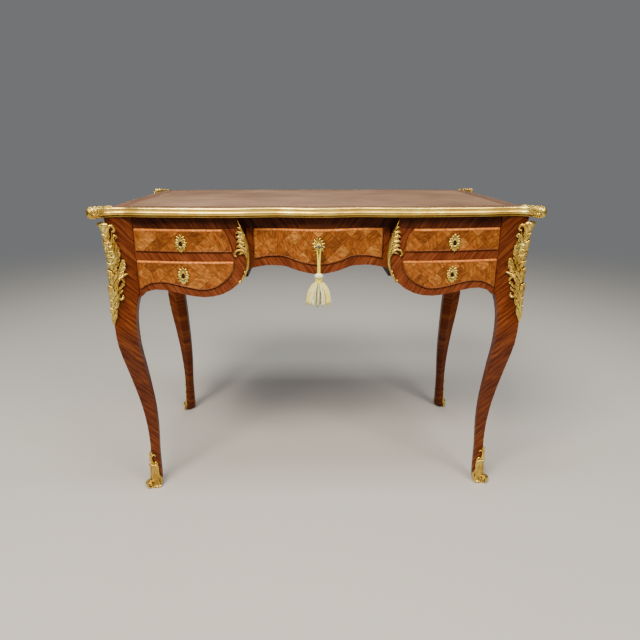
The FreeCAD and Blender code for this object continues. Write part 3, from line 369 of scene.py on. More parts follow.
def smooth_run(points, count):
    """Evenly counted places along a smooth run through points of any dimension."""
    rows = [points[0]] + list(points) + [points[-1]]
    result = []
    for i in range(count + 1):
        whole = i * (len(points) - 1) / count
        k = min(int(whole), len(points) - 2)
        t = whole - k
        result.append([
            b + 0.5 * t * (c - a + t * (2 * a - 5 * b + 4 * c - d + t * (3 * (b - c) + d - a)))
            for a, b, c, d in zip(rows[k], rows[k + 1], rows[k + 2], rows[k + 3])
        ])
    return result


def smooth_value(values, share):
    """One number from a row of values, spread evenly from share 0 to 1."""
    place = max(0.0, min(1.0, share)) * (len(values) - 1)
    k = min(int(place), len(values) - 2)
    t = place - k
    t = t * t * (3 - 2 * t)
    return values[k] * (1 - t) + values[k + 1] * t


def turns(count):
    """Evenly spaced angles of one full turn."""
    return [2 * math.pi * k / count for k in range(count)]


def band(shape, rows):
    """Quads between closed rows of vertices; returns them."""
    faces = []
    for row, following in zip(rows, rows[1:]):
        for k in range(len(row)):
            j = (k + 1) % len(row)
            faces.append(shape.faces.new((row[k], row[j], following[j], following[k])))
    return faces


def capped(shape, rows):
    """A band closed with a face at each end; returns the quads and the ends."""
    return band(shape, rows) + [shape.faces.new(rows[0][::-1]), shape.faces.new(rows[-1])]


def along(mount, route, samples):
    """Walks a route of (across, up, height): the share walked, the place and its sideways direction."""
    places = smooth_run([(mount[2] * s, t, lift) for s, t, lift in route], samples)
    for i, place in enumerate(places):
        before, after = places[max(i - 1, 0)], places[min(i + 1, samples)]
        run = math.hypot(after[0] - before[0], after[1] - before[1]) or 1.0
        yield i / samples, place, (-(after[1] - before[1]) / run, (after[0] - before[0]) / run)


# How deep a strand's underside sinks into the casting, as a share of its height
sunk_share = -0.4


def strand(mount, route, widths, heights, samples=30, around=10):
    """A cast strand of half-round section along a route; returns its faces."""
    shape, skin, _ = mount
    rows = []
    for share, (s, t, lift), side in along(mount, route, samples):
        half = smooth_value(widths, share)
        tall = smooth_value(heights, share)
        row = []
        for turn in turns(around):
            off = half * math.cos(turn)
            rise = lift + tall * max(math.sin(turn), sunk_share)
            row.append(shape.verts.new(skin(s + side[0] * off, t + side[1] * off, rise)))
        rows.append(row)
    return capped(shape, rows)


vein_depth = 0.42
vein_width = 0.2
tip_half_width = 0.12


def blade(mount, route, half_width, crown, samples=10, across=8, thick=1.1):
    """A chased leaflet along a route: pointed, crowned, with a sunk vein."""
    shape, skin, _ = mount
    loops = []
    for share, (s, t, lift), side in along(mount, route, samples):
        swell = 0.35 + 0.65 * math.sin(math.pi * min(1.0, 0.18 + share * 0.62))
        half = max(half_width * swell * (1 - share ** 5), tip_half_width)
        top, under = [], []
        for k in range(across + 1):
            v = 2 * k / across - 1
            vein = vein_depth * math.exp(-((v / vein_width) ** 2))
            rise = crown * (1 - v * v) ** 0.8 * (1 - vein) * (1 - 0.6 * share)
            off = v * half
            for row, height in ((top, lift + rise), (under, lift - thick)):
                row.append(shape.verts.new(skin(s + side[0] * off, t + side[1] * off, height)))
        loops.append(top + under[::-1])
    capped(shape, loops)


def leaf(mount, spine, lengths, half_width, crown, sides=(1, -1), spread=(62, 24), lift_tip=1.5):
    """An acanthus leaf: a midrib with leaflets on its sides that fan out towards its tip."""
    shape, skin, way = mount
    ahead_only = (shape, skin, 1)
    count = len(lengths)
    places = smooth_run([(way * s, t, lift) for s, t, lift in spine], 4 * count)
    for i, length in enumerate(lengths):
        s, t, lift = places[4 * i + 1]
        s2, t2, _ = places[4 * i + 4]
        ahead = math.atan2(t2 - t, s2 - s)
        lean = math.radians(spread[0] + (spread[1] - spread[0]) * i / max(count - 1, 1))
        for side in sides:
            first = ahead + way * side * lean
            last = first - way * side * lean * 0.45
            middle = (s + 0.55 * length * math.cos(first), t + 0.55 * length * math.sin(first))
            tip = (middle[0] + 0.5 * length * math.cos(last), middle[1] + 0.5 * length * math.sin(last))
            route = [(s, t, lift), (*middle, lift + 0.3 * lift_tip), (*tip, lift * 0.6 + lift_tip)]
            blade(ahead_only, route, half_width * (0.7 + 0.3 * length / max(lengths)), crown)
    blade(ahead_only, [places[-5], places[-3], places[-1]], half_width, crown)


def boss(mount, s, t, lift, radius, tall):
    """A rounded knob on the mount."""
    shape, skin, way = mount
    rings = []
    for i in range(1, 7):
        tilt = math.pi / 2 * i / 6
        off = radius * math.sin(tilt)
        height = lift + tall * math.cos(tilt)
        rings.append([
            shape.verts.new(skin(way * s + off * math.cos(turn), t + off * math.sin(turn), height))
            for turn in turns(12)
        ])
    capped(shape, rings)


def finished(name, shape, materials, mirrors=((1, 1),), body="table"):
    """Closes a mesh, copies it to the mirrored corners and adds it to the scene."""
    bmesh.ops.recalc_face_normals(shape, faces=shape.faces)
    mesh = bpy.data.meshes.new(name)
    whole = bmesh.new()
    for flip_x, flip_y in mirrors:
        single = shape.copy()
        bmesh.ops.transform(single, matrix=Matrix.Diagonal((flip_x, flip_y, 1, 1)), verts=single.verts)
        if flip_x * flip_y < 0:
            bmesh.ops.reverse_faces(single, faces=single.faces)
        single.to_mesh(mesh)
        whole.from_mesh(mesh)
        single.free()
    whole.to_mesh(mesh)
    whole.free()
    shape.free()
    for polygon in mesh.polygons:
        polygon.use_smooth = True
    for material in materials:
        mesh.materials.append(material)
    thing = bpy.data.objects.new(name, mesh)
    bpy.context.collection.objects.link(thing)
    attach(thing, body)
    return thing


# Edge moulding
# Lengths of cast and planed bronze moulding, pinned round the board between the clasps. Its
# lower faces take a much darker gilding: painted shade for the shadow under the moulding.
half_depth = 292.5
table_height = 770.0
front_right_edge = [
    (0, -276.5), (50.3, -270.5), (100.5, -265.1), (201, -273.4), (324.2, -266.6), (405.1, -259.3),
    (453, -252.2), (482.6, -259), (502.6, -281.9),
]
side_right_edge = [(515.4, -269.1), (480.1, -231.5), (477.5, -196.5), (481.2, -102.3), (480.1, 0)]
# Out from the board and down from its top: bead, groove, half round, hollow and foot
moulding_section = [
    (-1.5, 1), (-0.2, 0.3), (1, -0.1), (2.4, 0.1), (3.9, 0.8), (4.9, 2.1), (5.3, 3.8), (5.1, 5.6), (4.4, 7.1),
    (3.6, 8.2), (3.7, 9), (4.9, 9.8), (5.7, 11), (6, 12.6), (6, 14.2), (5.5, 15.8), (4.4, 17), (3.2, 17.9),
    (2.4, 19), (2.2, 20.3), (2.2, 21.4), (1.4, 22), (-1.5, 22),
]
# From this depth down the moulding takes the darker gilding: painted shade
painted_shade_from = 17.0
# Where the runs end under the clasps
front_run_end = 498
side_run_end = 262


def moulding_along(shape, places, way):
    """Sweeps the moulding's section along places of the board's edge, in mm."""
    rows = []
    for i, (x, y) in enumerate(places):
        before, after = places[max(i - 1, 0)], places[min(i + 1, len(places) - 1)]
        run = Vector((after[0] - before[0], after[1] - before[1])).normalized()
        outward = Vector((run.y, -run.x)) * way
        rows.append([
            shape.verts.new(Vector((x + outward.x * out, y + outward.y * out, table_height - under)) * MM)
            for out, under in moulding_section
        ])
    for number, face in enumerate(capped(shape, rows)):
        # Faces from that depth down: painted shade
        face.material_index = int(moulding_section[number % len(moulding_section)][1] >= painted_shade_from)


shape = bmesh.new()
front_edge = [(-x, y) for x, y in reversed(front_right_edge[1:])] + front_right_edge
side_edge = side_right_edge + [(x, -y) for x, y in reversed(side_right_edge[:-1])]
front_places = [p for p in smooth_run(front_edge, 320) if abs(p[0]) < front_run_end]
side_places = [p for p in smooth_run(side_edge, 160) if abs(p[1]) < side_run_end]
for way in (1, -1):
    moulding_along(shape, [(x, y * way) for x, y in front_places], way)
    moulding_along(shape, [(x * way, y) for x, y in side_places], way)
gildings = (plain_gilding, underside_painted_shade_gilding)
moulding = finished("bead_and_round_moulding", shape, gildings)
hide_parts("edge_moulding")

# Leg mounts
# One casting on the corner of each leg: two volutes at the top, ribbed acanthus down the
# knee, a C-scroll round a hollow, and a long tail leaf. Screwed on, so it stands well proud.
leg_corner_x = 490.0
leg_corner_setback = 35.0
# Height, inward swing, width of a face and how far the face falls back
leg_table = [
    (4, 21, 29, 0), (20.7, 25.8, 26.5, 0), (45.7, 28.5, 24.7, 0), (100, 29.4, 24, 0), (140, 30, 25, 0),
    (190, 28.5, 28.6, 0), (250, 23, 33.5, 0), (310, 14, 39, 0), (370, 3.6, 45, 0), (430, -6.6, 49.4, 2),
    (490, -9, 50, 8), (530, -5.4, 49.4, 15), (560, -2.4, 52, 19), (590, 0, 52, 19), (620, 2, 52, 19),
    (660, 1.5, 52, 19), (700, 0, 52, 19), (748, -4, 52, 19),
]
leg_rows = smooth_run(leg_table, 160)
# How gently a height off the leg swings from one face to the other, in square mm
arris_blend = 30.0


def leg_skin(s, z, height):
    """A place over the two outer faces of the front right leg; s is positive on the front."""
    k = 0
    while k < len(leg_rows) - 2 and leg_rows[k + 1][0] < z:
        k += 1
    low, high = leg_rows[k], leg_rows[k + 1]
    t = (z - low[0]) / (high[0] - low[0])
    swing, width, splay = (a + (b - a) * t for a, b in zip(low[1:], high[1:]))
    arris = Vector((leg_corner_x - swing, leg_corner_setback + swing - half_depth, z))
    front = Vector((-width, splay, 0)).normalized()
    side = Vector((-splay, width, 0)).normalized()
    share = 0.5 + 0.5 * s / math.sqrt(s * s + arris_blend)
    outward = (Vector((-splay, -width, 0)) * share + Vector((width, splay, 0)) * (1 - share)).normalized()
    return (arris + front * max(s, 0) + side * max(-s, 0) + outward * height) * MM


shape = bmesh.new()
middle = (shape, leg_skin, 1)
both_sides = [(shape, leg_skin, way) for way in (1, -1)]
# The ridge over the arris, thick at the acanthus and the scroll, with a rib along its top
ridge = [
    (0, 733, 13), (0, 722, 10), (0, 706, 6), (0, 690, 5), (0, 668, 6), (0, 645, 4), (0, 622, 5), (0, 603, 7),
    (0, 584, 5.5), (0, 566, 7), (0, 545, 5), (0, 519, 3.5), (0, 491, 1),
]
ridge_widths = (5, 3.6, 4, 6, 8, 6.5, 7, 7, 5, 6, 5, 3.5, 1.6)
ridge_heights = (4, 5, 5, 5, 6, 4.5, 5, 6, 4.5, 6, 4.5, 3.5, 2.5)
strand(middle, ridge, ridge_widths, ridge_heights, samples=60, around=14)
# Chased leaflets that climb the ridge, each over the one above
for low, long, half, lift in (
    (678, 34, 3.2, 12), (664, 30, 3.6, 13.5), (650, 30, 3.8, 12.5), (636, 28, 3.6, 11.5), (616, 28, 3.6, 12),
    (603, 24, 3.4, 15), (586, 24, 3, 12.5), (566, 24, 3.2, 14.5), (548, 24, 3.2, 11.5), (530, 24, 2.8, 9.5),
    (512, 22, 2.4, 8), (497, 20, 1.8, 5),
):
    blade(middle, [(0, low, lift - 3.5), (0, low + 0.5 * long, lift - 1), (0, low + long, lift + 2)], half, 3)
    beside = [(1.5, low - 6, lift - 4), (5, low + 0.3 * long, lift - 1), (9, low + 0.8 * long, lift + 1)]
    for mount in both_sides:
        blade(mount, beside, half * 0.8, 2.4)
for mount in both_sides:
    # Ball under the board, stems below the volutes and the long spikes at the sides
    boss(mount, 2.5, 732, 12, 6, 7)
    for s, lean in ((3.5, 1.5), (7, 4)):
        stem = [(s, 692, 5), (s + lean * 0.4, 704, 7), (s + lean, 716, 7)]
        strand(mount, stem, (1.6, 1.8, 1.2), (3, 3.4, 2.4), samples=14, around=8)
    for s, z, rise, out in ((9, 560, 14, 4), (8, 536, 14, 3), (6, 512, 12, 2)):
        blade(mount, [(s - 5, z - 8, 4), (s, z, 6), (s + out, z + rise, 5)], 2.4, 2.2)
    # Body of metal under the leaves
    strand(mount, [(5, 632, 0), (9, 650, 1), (10, 668, 1), (7, 688, 0)], (4, 8, 8, 4), (4, 6, 6, 4))
    strand(mount, [(6, 606, 0), (14, 620, 1), (21, 634, 1), (25, 645, 0)], (4, 7, 6, 3), (4, 6, 5, 3))
    strand(mount, [(4, 590, 0), (5, 570, 1), (7, 550, 1), (4, 530, 0)], (3, 4, 5, 3), (4, 5, 5, 3))
    # Volute at the top, with its inner curl
    volute = [
        (1, 684, 7), (0, 700, 8), (1, 714, 9), (5, 725, 10), (12, 729, 10), (17, 723, 9), (15, 716, 8),
        (10, 716, 8),
    ]
    strand(mount, volute, (5, 5, 4.6, 4, 3.4, 3, 2.6, 2), (5, 5, 4.6, 4.4, 4, 3.6, 3, 2.6), 44, 12)
    curl = [(4, 690, 5), (9, 700, 6), (15, 706, 6), (18, 702, 5), (14, 698, 5)]
    strand(mount, curl, (3, 3, 2.6, 2.2, 1.6), (3, 3, 3, 2.6, 2), samples=24)
    # Upper acanthus, one leaf over another, and tips that stand off the casting, seen from the side
    leaf(mount, [(3, 630, 3), (6, 646, 4), (8, 666, 5), (7, 692, 5)], (13, 17, 22, 23, 21, 16), 4.2, 3.6,
         sides=(-1,), spread=(48, 20), lift_tip=5)
    for s, z in ((8, 682), (9, 666), (8, 650), (7, 606), (6, 580), (6, 556), (5, 534)):
        blade(mount, [(s - 4, z - 10, 6), (s, z, 9), (s + 2.5, z + 8, 13)], 2.8, 2)
    leaf(mount, [(0, 636, 9), (1.5, 656, 12), (1.5, 676, 12), (2, 694, 9)], (8, 11, 12, 11, 8), 3.4, 2.6,
         sides=(-1,), spread=(34, 16), lift_tip=2)
    # Side leaf with its flung-out tips
    leaf(mount, [(7, 604, 4), (13, 616, 5), (20, 630, 5), (24, 645, 5)], (10, 13, 14, 13, 9), 4, 3,
         spread=(44, 18), lift_tip=4)
    # C-scroll round the hollow
    scroll = [
        (31, 612, 5), (26, 611.5, 5), (18, 607, 6), (10, 600, 7), (5, 588, 8), (5, 572, 7), (9, 559, 6),
        (16, 552, 5), (21, 556, 4), (19, 562, 4),
    ]
    strand(mount, scroll, (1, 2.8, 3.6, 4.2, 4.2, 3.8, 3.2, 2.8, 2.4, 1.8),
           (2, 3.4, 4.2, 4.6, 4.6, 4.2, 4, 3.4, 3, 2.4), samples=60, around=12)
    blade(mount, [(7, 574, 3), (13, 579, 4), (18, 586, 5), (22, 594, 5)], 3.8, 2.8)
    blade(mount, [(8, 566, 3), (15, 569, 4), (20, 576, 5)], 3.2, 2.4)
    blade(mount, [(13, 606, 5), (20, 598, 5), (24, 590, 4)], 3.2, 2.4)
    boss(mount, 21.5, 585.5, 3, 3, 4.5)
    boss(mount, 19, 555.5, 3, 3.2, 4.5)
    boss(mount, 7, 541, 3, 2.6, 4)
    # Tail leaf
    leaf(mount, [(2, 566, 5), (2.5, 545, 5), (1.5, 522, 4), (0, 498, 2)], (13, 13, 11, 9), 3.2, 2.4,
         sides=(1,), spread=(30, 14), lift_tip=2)
corners = ((1, 1), (-1, 1), (1, -1), (-1, -1))
leg_mounts = finished("leaf_mounts_on_legs", shape, (ormolu,), corners)
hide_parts("leg_chutes")

# Sabots
# Cast shoes on the feet: a rounded tongue up the corner, a collar, curled leaves above it, and
# a toe that rolls outwards into a scroll. Screwed to the wood from the sides.
tongue_outline = [
    (29.5, 0), (29.5, 8), (28.5, 18), (27, 25), (22, 31), (18.5, 38), (17.5, 50), (17.5, 61), (15, 68),
]
columns = 12
lowest = 0.3
inner_height = -1.5


def shoe_height(s, z):
    """How far the shoe stands off the wood: a full tongue, thin sides and a flared foot."""
    tongue = 5.2 * max(0.0, 1 - (s / 17.5) ** 2) ** 0.6
    flare = 4 * max(0.0, 1 - z / 16) ** 2 * math.exp(-(((abs(s) - 17) / 8) ** 2))
    return 2.2 + 0.5 * tongue * min(1.0, 0.45 + z / 40) + flare


shape = bmesh.new()
rows = []
for half, z in smooth_run(tongue_outline, 34):
    row = []
    for k in range(-columns, columns + 1):
        s = half * k / columns
        row.append(shape.verts.new(leg_skin(s, max(z, lowest), shoe_height(s, z))))
    for s in (half, 0, -half):
        row.append(shape.verts.new(leg_skin(s, max(z, lowest), inner_height)))
    rows.append(row)
capped(shape, rows)
# The toe's scroll: a roll across the corner with a raised rim and eye at each end
toe_middle = Vector((469.4, -236.9, 10.9))
toe_axis = Vector((1, 1, 0)).normalized()
toe_out = Vector((1, -1, 0)).normalized()
toe_up = Vector((0, 0, 1))
# Half of it: reach from its middle, and radius
toe_end = [
    (9, 0.5), (8.8, 2.6), (7.8, 4), (6.6, 4.4), (6.6, 7.6), (8.2, 8), (9.2, 8.8), (8.4, 10), (6.4, 10.5),
]
rings = []
for reach, radius in [(-reach, radius) for reach, radius in toe_end] + [(0, 10)] + toe_end[::-1]:
    rings.append([
        shape.verts.new((
            toe_middle + toe_axis * reach + (toe_out * math.cos(turn) + toe_up * math.sin(turn)) * radius
        ) * MM)
        for turn in turns(24)
    ])
capped(shape, rings)
middle = (shape, leg_skin, 1)
collar = [(-16, 62, 3), (-7, 66.5, 5), (0, 67.5, 6), (7, 66.5, 5), (16, 62, 3)]
strand(middle, collar, (1.8, 2.2, 2.4, 2.2, 1.8), (2, 2.6, 3, 2.6, 2), samples=24)
arris_rib = [(0, 14, 6), (0, 34, 7.5), (0, 52, 7.2), (0, 64, 6)]
strand(middle, arris_rib, (0.6, 0.8, 0.8, 0.6), (0.8, 1.1, 1.1, 0.8), samples=20, around=8)
boss(middle, 0, 73, 3, 3.6, 4.5)
for way in (1, -1):
    mount = (shape, leg_skin, way)
    # Flared edge of the foot, rib beside the tongue, knobs and curled leaves above the collar
    strand(mount, [(13, 4.5, 5), (18, 4, 5), (23, 4, 4), (29, 5, 3)], (1.6, 3, 2.6, 2), (1.6, 3, 2.4, 2))
    rib = [(16.8, 60, 3), (17, 46, 3), (18, 36, 3), (18, 22, 3.2), (14, 11, 4.6)]
    strand(mount, rib, (1.2, 1.5, 1.6, 1.8, 1.6), (1.4, 1.8, 2, 2.2, 1.6), samples=30)
    blade(mount, [(24, 6, 4), (20, 16, 5), (13, 24, 7)], 3.4, 2.2)
    boss(mount, 11, 75, 2.6, 3.2, 4)
    blade(mount, [(13, 64, 3), (15, 70, 4), (14, 77, 3.6)], 2.4, 2)
    curl = [(7, 70, 3), (2.5, 80, 4), (2, 92, 4), (7, 99, 4), (11.5, 97, 3.6), (11, 92.5, 3)]
    strand(mount, curl, (2.2, 2.4, 2.2, 2, 1.6, 1.2), (2.6, 3, 2.8, 2.6, 2.2, 1.6), samples=34)
    blade(mount, [(1, 88, 3.5), (2.4, 98, 4), (1.4, 110, 3)], 2.6, 2)
    strand(mount, [(2, 98, 3), (3.2, 104, 3.4), (1, 109, 3)], (1.4, 1.5, 0.9), (1.6, 1.8, 1), samples=12)
shoes = finished("scrolled_sabots", shape, (ormolu,), corners)
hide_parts("sabot_front_right", "sabot_front_left", "sabot_back_right", "sabot_back_left")

# Corner clasps
# Cast shells hooked over the board's corners: a smooth ball at the tip and chased leaves that
# spread from it along both edges and over the top. Each is held by two screws from below.
clasp_line = smooth_run([
    (472, -254.3), (484.2, -257.8), (493, -268.5), (502.6, -281.9), (509, -284.5), (515.4, -281.9),
    (518, -275.5), (515.4, -269.1), (503, -259.5), (490, -249.4), (483, -239),
], 100)
clasp_step = 1.25
# The rounded edge of the shell: its middle's height, and its reach outwards and upwards
clasp_middle_z = 759
clasp_out = 4.4
clasp_up = 11.6
clasp_lap_from = 17.3
mm_per_radian = 11


def clasp_skin(s, t, height):
    """A place over the clasp in mm: s along the edge from the tip, t up and over its section."""
    place = max(0.0, min(99.99, 50 + s / clasp_step))
    k = int(place)
    a, b = Vector(clasp_line[k]), Vector(clasp_line[k + 1])
    run = (b - a).normalized()
    outward = Vector((run.y, -run.x))
    turn = max(-1.5, min(t / mm_per_radian, 1.57))
    lap = max(0.0, t - clasp_lap_from)
    at = a.lerp(b, place - k) + outward * ((clasp_out + height) * math.cos(turn) - lap)
    return Vector((at.x, at.y, clasp_middle_z + (clasp_up + height) * math.sin(turn))) * MM


shape = bmesh.new()
rows = []
for i in range(-40, 41):
    s = i * clasp_step * 0.97
    low = -16 + 22 * min(1.0, max(0.0, (abs(s) - 24) / 9))
    over = 26 - 0.16 * abs(s)
    proud = 0.5 if abs(s) < 47 else 0
    row = [clasp_skin(s, low + (over - low) * k / 16, proud) for k in range(17)]
    row += [clasp_skin(s, over, -3.5), clasp_skin(s, 0, -7.5), clasp_skin(s, low, -4)]
    rows.append([shape.verts.new(p) for p in row])
capped(shape, rows)
boss((shape, clasp_skin, 1), 0, 1.5, 0, 13, 3.4)
for way in (1, -1):
    mount = (shape, clasp_skin, way)
    leaf(mount, [(17, 4, 0.6), (28, 8, 0.9), (42, 14, 0.9), (57, 17, 0.8)], (8, 11, 12, 12, 11, 9), 2.5, 2.2,
         spread=(74, 40), lift_tip=1)
    leaf(mount, [(15, -5, 0.5), (21, -7, 0.7), (29, -6, 0.5)], (7, 8, 7), 2.4, 2,
         spread=(64, 36), lift_tip=0.8)
    leaf(mount, [(12, 14, 0.5), (19, 19, 0.6), (29, 23, 0.5)], (7, 8, 8), 2.4, 1.8,
         spread=(64, 36), lift_tip=0.6)
    boss(mount, 47, 20, 0.4, 3.4, 2)
clasps = finished("leafy_clasps", shape, (ormolu,), corners)
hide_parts("corner_clasps")

# Shoulder scrolls
# Flat castings pinned to the shoulders of the pedestals: a C-shaped spine with four leaf
# tufts, a curled hook and a ball at its foot. They stand about 6 mm off the veneer.
pedestal_plan = [(151, -257), (200, -259.5), (260, -259.5), (321, -255.5), (380, -247.5), (447, -237)]
pedestal_face = smooth_run(pedestal_plan, 60)
centre_half = [(0, -261.5), (49, -254.5), (99, -242.6), (165, -234.5), (198, -234)]
centre_face = smooth_run([(-x, y) for x, y in reversed(centre_half[1:])] + centre_half, 80)


def front_skin(rows, proud):
    """The skin of a front from its plan: x across, z up, height towards the sitter."""
    def place(x, z, height):
        k = 0
        while k < len(rows) - 2 and rows[k + 1][0] < x:
            k += 1
        (x0, y0), (x1, y1) = rows[k], rows[k + 1]
        return Vector((x, y0 + (y1 - y0) * (x - x0) / (x1 - x0) - proud - height, z)) * MM
    return place


shape = bmesh.new()
mount = (shape, front_skin(pedestal_face, 0), 1)
spine = [
    (189, 742, 2), (183, 727, 3), (176.5, 708, 3), (171, 688, 3), (168.3, 668, 3), (167.5, 650, 3),
    (170, 630, 3), (177, 611, 3), (187, 596, 3),
]
strand(mount, spine, (0.7, 1.8, 3.4, 4.2, 4.2, 3.6, 3.2, 3, 2.4), (1.5, 3, 4, 4.5, 4.5, 4, 3.5, 3.5, 3),
       samples=50, around=12)
boss(mount, 189, 594, 2, 4.4, 5)
boss(mount, 176, 618, 3, 3, 4.5)
boss(mount, 180, 608, 3, 2.4, 4.2)
hook = [
    (167.5, 650, 2), (172, 661, 3), (179, 669, 4), (188, 671, 4), (196, 667, 4), (198, 659, 4),
    (193.5, 656, 3),
]
strand(mount, hook, (3, 3.4, 3.4, 3, 2.8, 2.4, 1.8), (3, 4, 4.4, 4, 3.6, 3, 2.4), samples=36, around=12)
for low in (677, 688, 699, 710):
    tuft = [(173, low - 4, 2), (181, low + 1, 4), (189, low + 3, 4.5), (194, low, 3)]
    blade(mount, tuft, 3.6, 3.4, samples=12)
    blade(mount, [(174, low - 6, 2), (182, low - 4.5, 3), (189, low - 3.5, 3)], 2.4, 2.4)
blade(mount, [(179, 715, 2), (184, 722, 4), (190, 724, 3.5)], 2.6, 2.6)
blade(mount, [(176, 664, 3), (184, 663, 4), (190, 660, 3)], 2.4, 2.4)
for hand, mirrors in (("right", ((1, 1),)), ("left", ((-1, 1),))):
    scroll = finished("leafy_scroll_" + hand, shape.copy(), (ormolu,), mirrors)
    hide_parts("shoulder_scroll_" + hand)
shape.free()

# Keyhole mounts
# Small pierced cartouches, cast and chased, round each keyhole: a rim, leaves all round, a
# longer leaf above and a pointed tail below. The middle drawer has a round rosette.
field_proud = 4.0
plate_drop = 3
keyhole = (3.8, 7)
# How far the dark disc of painted shade reaches past the keyhole, in mm
shade_disc_margin = 0.1
lobes = 8


def open_plate(mount, x, z, outer, thick):
    """The mount's thin plate with its keyhole open and a lobed edge, and a dark disc behind it, painted shade
    inside the keyhole.
    """
    shape, skin, _ = mount
    rings = []
    for size, height in ((keyhole, 0.2), (keyhole, thick), (outer, thick), (outer, 0.2)):
        ring = []
        for turn in turns(48):
            lobe = 1.0 if size is keyhole else 0.9 + 0.1 * abs(math.cos(lobes * turn / 2))
            across, up = size[0] * lobe * math.cos(turn), size[1] * lobe * math.sin(turn)
            ring.append(shape.verts.new(skin(x + across, z + up, height)))
        rings.append(ring)
    band(shape, rings + rings[:1])
    wide, tall = (size + shade_disc_margin for size in keyhole)
    hole = [skin(x + wide * math.cos(turn), z + tall * math.sin(turn), 0.25) for turn in turns(24)]
    # A dark oak disc in the keyhole: painted shade
    shape.faces.new([shape.verts.new(p) for p in hole]).material_index = 1


def rim(mount, x, z, wide, tall, half=1.5, crown=2.2):
    """A raised oval rim round the keyhole."""
    shape, skin, _ = mount
    rings = []
    for turn in turns(32):
        ring = []
        for around in turns(8):
            off = 1 + half * math.cos(around) / wide
            across, up = wide * off * math.cos(turn), tall * off * math.sin(turn)
            ring.append(shape.verts.new(skin(x + across, z + up, 1.2 + crown * max(math.sin(around), -0.5))))
        rings.append(ring)
    band(shape, rings + rings[:1])


def cartouche(mount, x, z):
    """A side drawer's keyhole mount, 28 mm wide and 43 mm high."""
    open_plate(mount, x, z - plate_drop, (9.5, 14), 1.4)
    rim(mount, x, z - plate_drop, 5.4, 8.8)
    for angle, long, half in (
        (90, 14, 4), (62, 13, 3.6), (35, 11, 3.4), (8, 10.5, 3.4), (-20, 10.5, 3.4), (-48, 11.5, 3.4),
        (-72, 12.5, 3), (-90, 14, 3.2),
    ):
        upright = abs(angle) == 90
        for degrees, side in ((angle, 0),) if upright else ((angle, 1), (180 - angle, -1)):
            turn = math.radians(degrees)
            lean = turn - side * math.radians(18)
            near = (x + 5.2 * math.cos(turn), z - 2 + 7.6 * math.sin(turn))
            mid = (near[0] + 0.5 * long * math.cos(turn), near[1] + 0.5 * long * math.sin(turn))
            tip = (mid[0] + 0.5 * long * math.cos(lean), mid[1] + 0.5 * long * math.sin(lean))
            blade(mount, [(*near, 1.6), (*mid, 2.6), (*tip, 1.6)], half, 1.8, samples=8, across=6, thick=1.2)


def rosette(mount, x, z):
    """The middle drawer's keyhole mount, 34 mm wide and 39 mm high, pierced between its leaves."""
    open_plate(mount, x, z - plate_drop, (8.4, 11), 1.6)
    rim(mount, x, z - plate_drop, 5.6, 8.8)
    reach = (16.5, 19)
    for k in range(12):
        turn = math.radians(30 * k + 90)
        near = (x + 5.6 * math.cos(turn), z - 1 + 7.2 * math.sin(turn))
        tip = (x + reach[0] * math.cos(turn + 0.2), z + reach[1] * math.sin(turn + 0.2))
        mid = ((near[0] + tip[0]) / 2 - 2 * math.sin(turn), (near[1] + tip[1]) / 2 + 2 * math.cos(turn))
        blade(mount, [(*near, 1.6), (*mid, 3), (*tip, 2)], 2.9, 1.8, samples=8, across=6, thick=1.2)


keyhole_x = 323.5
upper_keyhole_z = 688.5
lower_keyhole_z = 611.5
left_face = [(-x, y) for x, y in reversed(pedestal_face)]
for drawer, x, z, mounting, rows in (
    ("upper_right", keyhole_x, upper_keyhole_z, cartouche, pedestal_face),
    ("upper_left", -keyhole_x, upper_keyhole_z, cartouche, left_face),
    ("lower_right", keyhole_x, lower_keyhole_z, cartouche, pedestal_face),
    ("lower_left", -keyhole_x, lower_keyhole_z, cartouche, left_face),
    ("centre", 0.0, 682.0, rosette, centre_face),
):
    shape = bmesh.new()
    mounting((shape, front_skin(rows, field_proud), 1), x, z)
    # The dark oak is painted shade in the keyhole
    gilding_and_painted_shade = (worn_gilding, painted_shade_dark_oak)
    plate = finished("keyhole_mount_" + drawer, shape, gilding_and_painted_shade, body=drawer + "_drawer")
    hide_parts(drawer + "_drawer_escutcheon")

# Drawer lips
# A rounded lip of cross-cut tulipwood, 6 mm wide, glued round each drawer front and scraped
# to a soft half round. It stands a little above the parquetry. Its top run is coloured bright
# orange, a painted highlight, and its other runs darker brown, painted shade.
# Bright colours for the top run, a painted highlight; darker ones for the other runs, painted shade
lip_painted_highlight_grain = veneer("cross_cut_lip_with_painted_highlight", ("#ad581c", "#d97f34", "#f4a557"), (0, quarter, 0), 0.22)
lip_painted_shade_grain = veneer("cross_cut_lip_with_painted_shade", ("#632f12", "#8c4c22", "#a86836"), (0, quarter, 0), 0.3)
lip_inset = 2.9
drawer_top = 719.0 - lip_inset
drawer_outer = 437 - lip_inset
# Half width and height of the lip, along the top and elsewhere
top_lip = (3.3, 4.9)
other_lip = (2.2, 4.2)

# Each outline is a curve and the corners after it, in (x, z) on the right side of the front.
# Upper drawers: the inner end leans along the shoulder
low = 665 + lip_inset
curve = [(203 + 18.5 * lean + lip_inset, low + (drawer_top - low) * rise) for lean, rise in (
    (1, 1), (0.62, 0.76), (0.35, 0.53), (0.135, 0.26), (0, 0),
)]
upper_outline = (curve, [(drawer_outer, low), (drawer_outer, drawer_top)])
# Lower drawers: belly and hump
inner, low, high = 200 + lip_inset, 573.5 + lip_inset, 643 - lip_inset
curve = [(inner, high)] + [(inner + (drawer_outer - inner) * across, low + 69.5 * rise) for across, rise in (
    (0.03, 0.57), (0.156, 0.165), (0.306, 0), (0.473, 0.065), (0.66, 0.2), (0.77, 0.235), (0.89, 0.173),
    (1, -0.03),
)]
lower_outline = (curve, [(drawer_outer, high)])
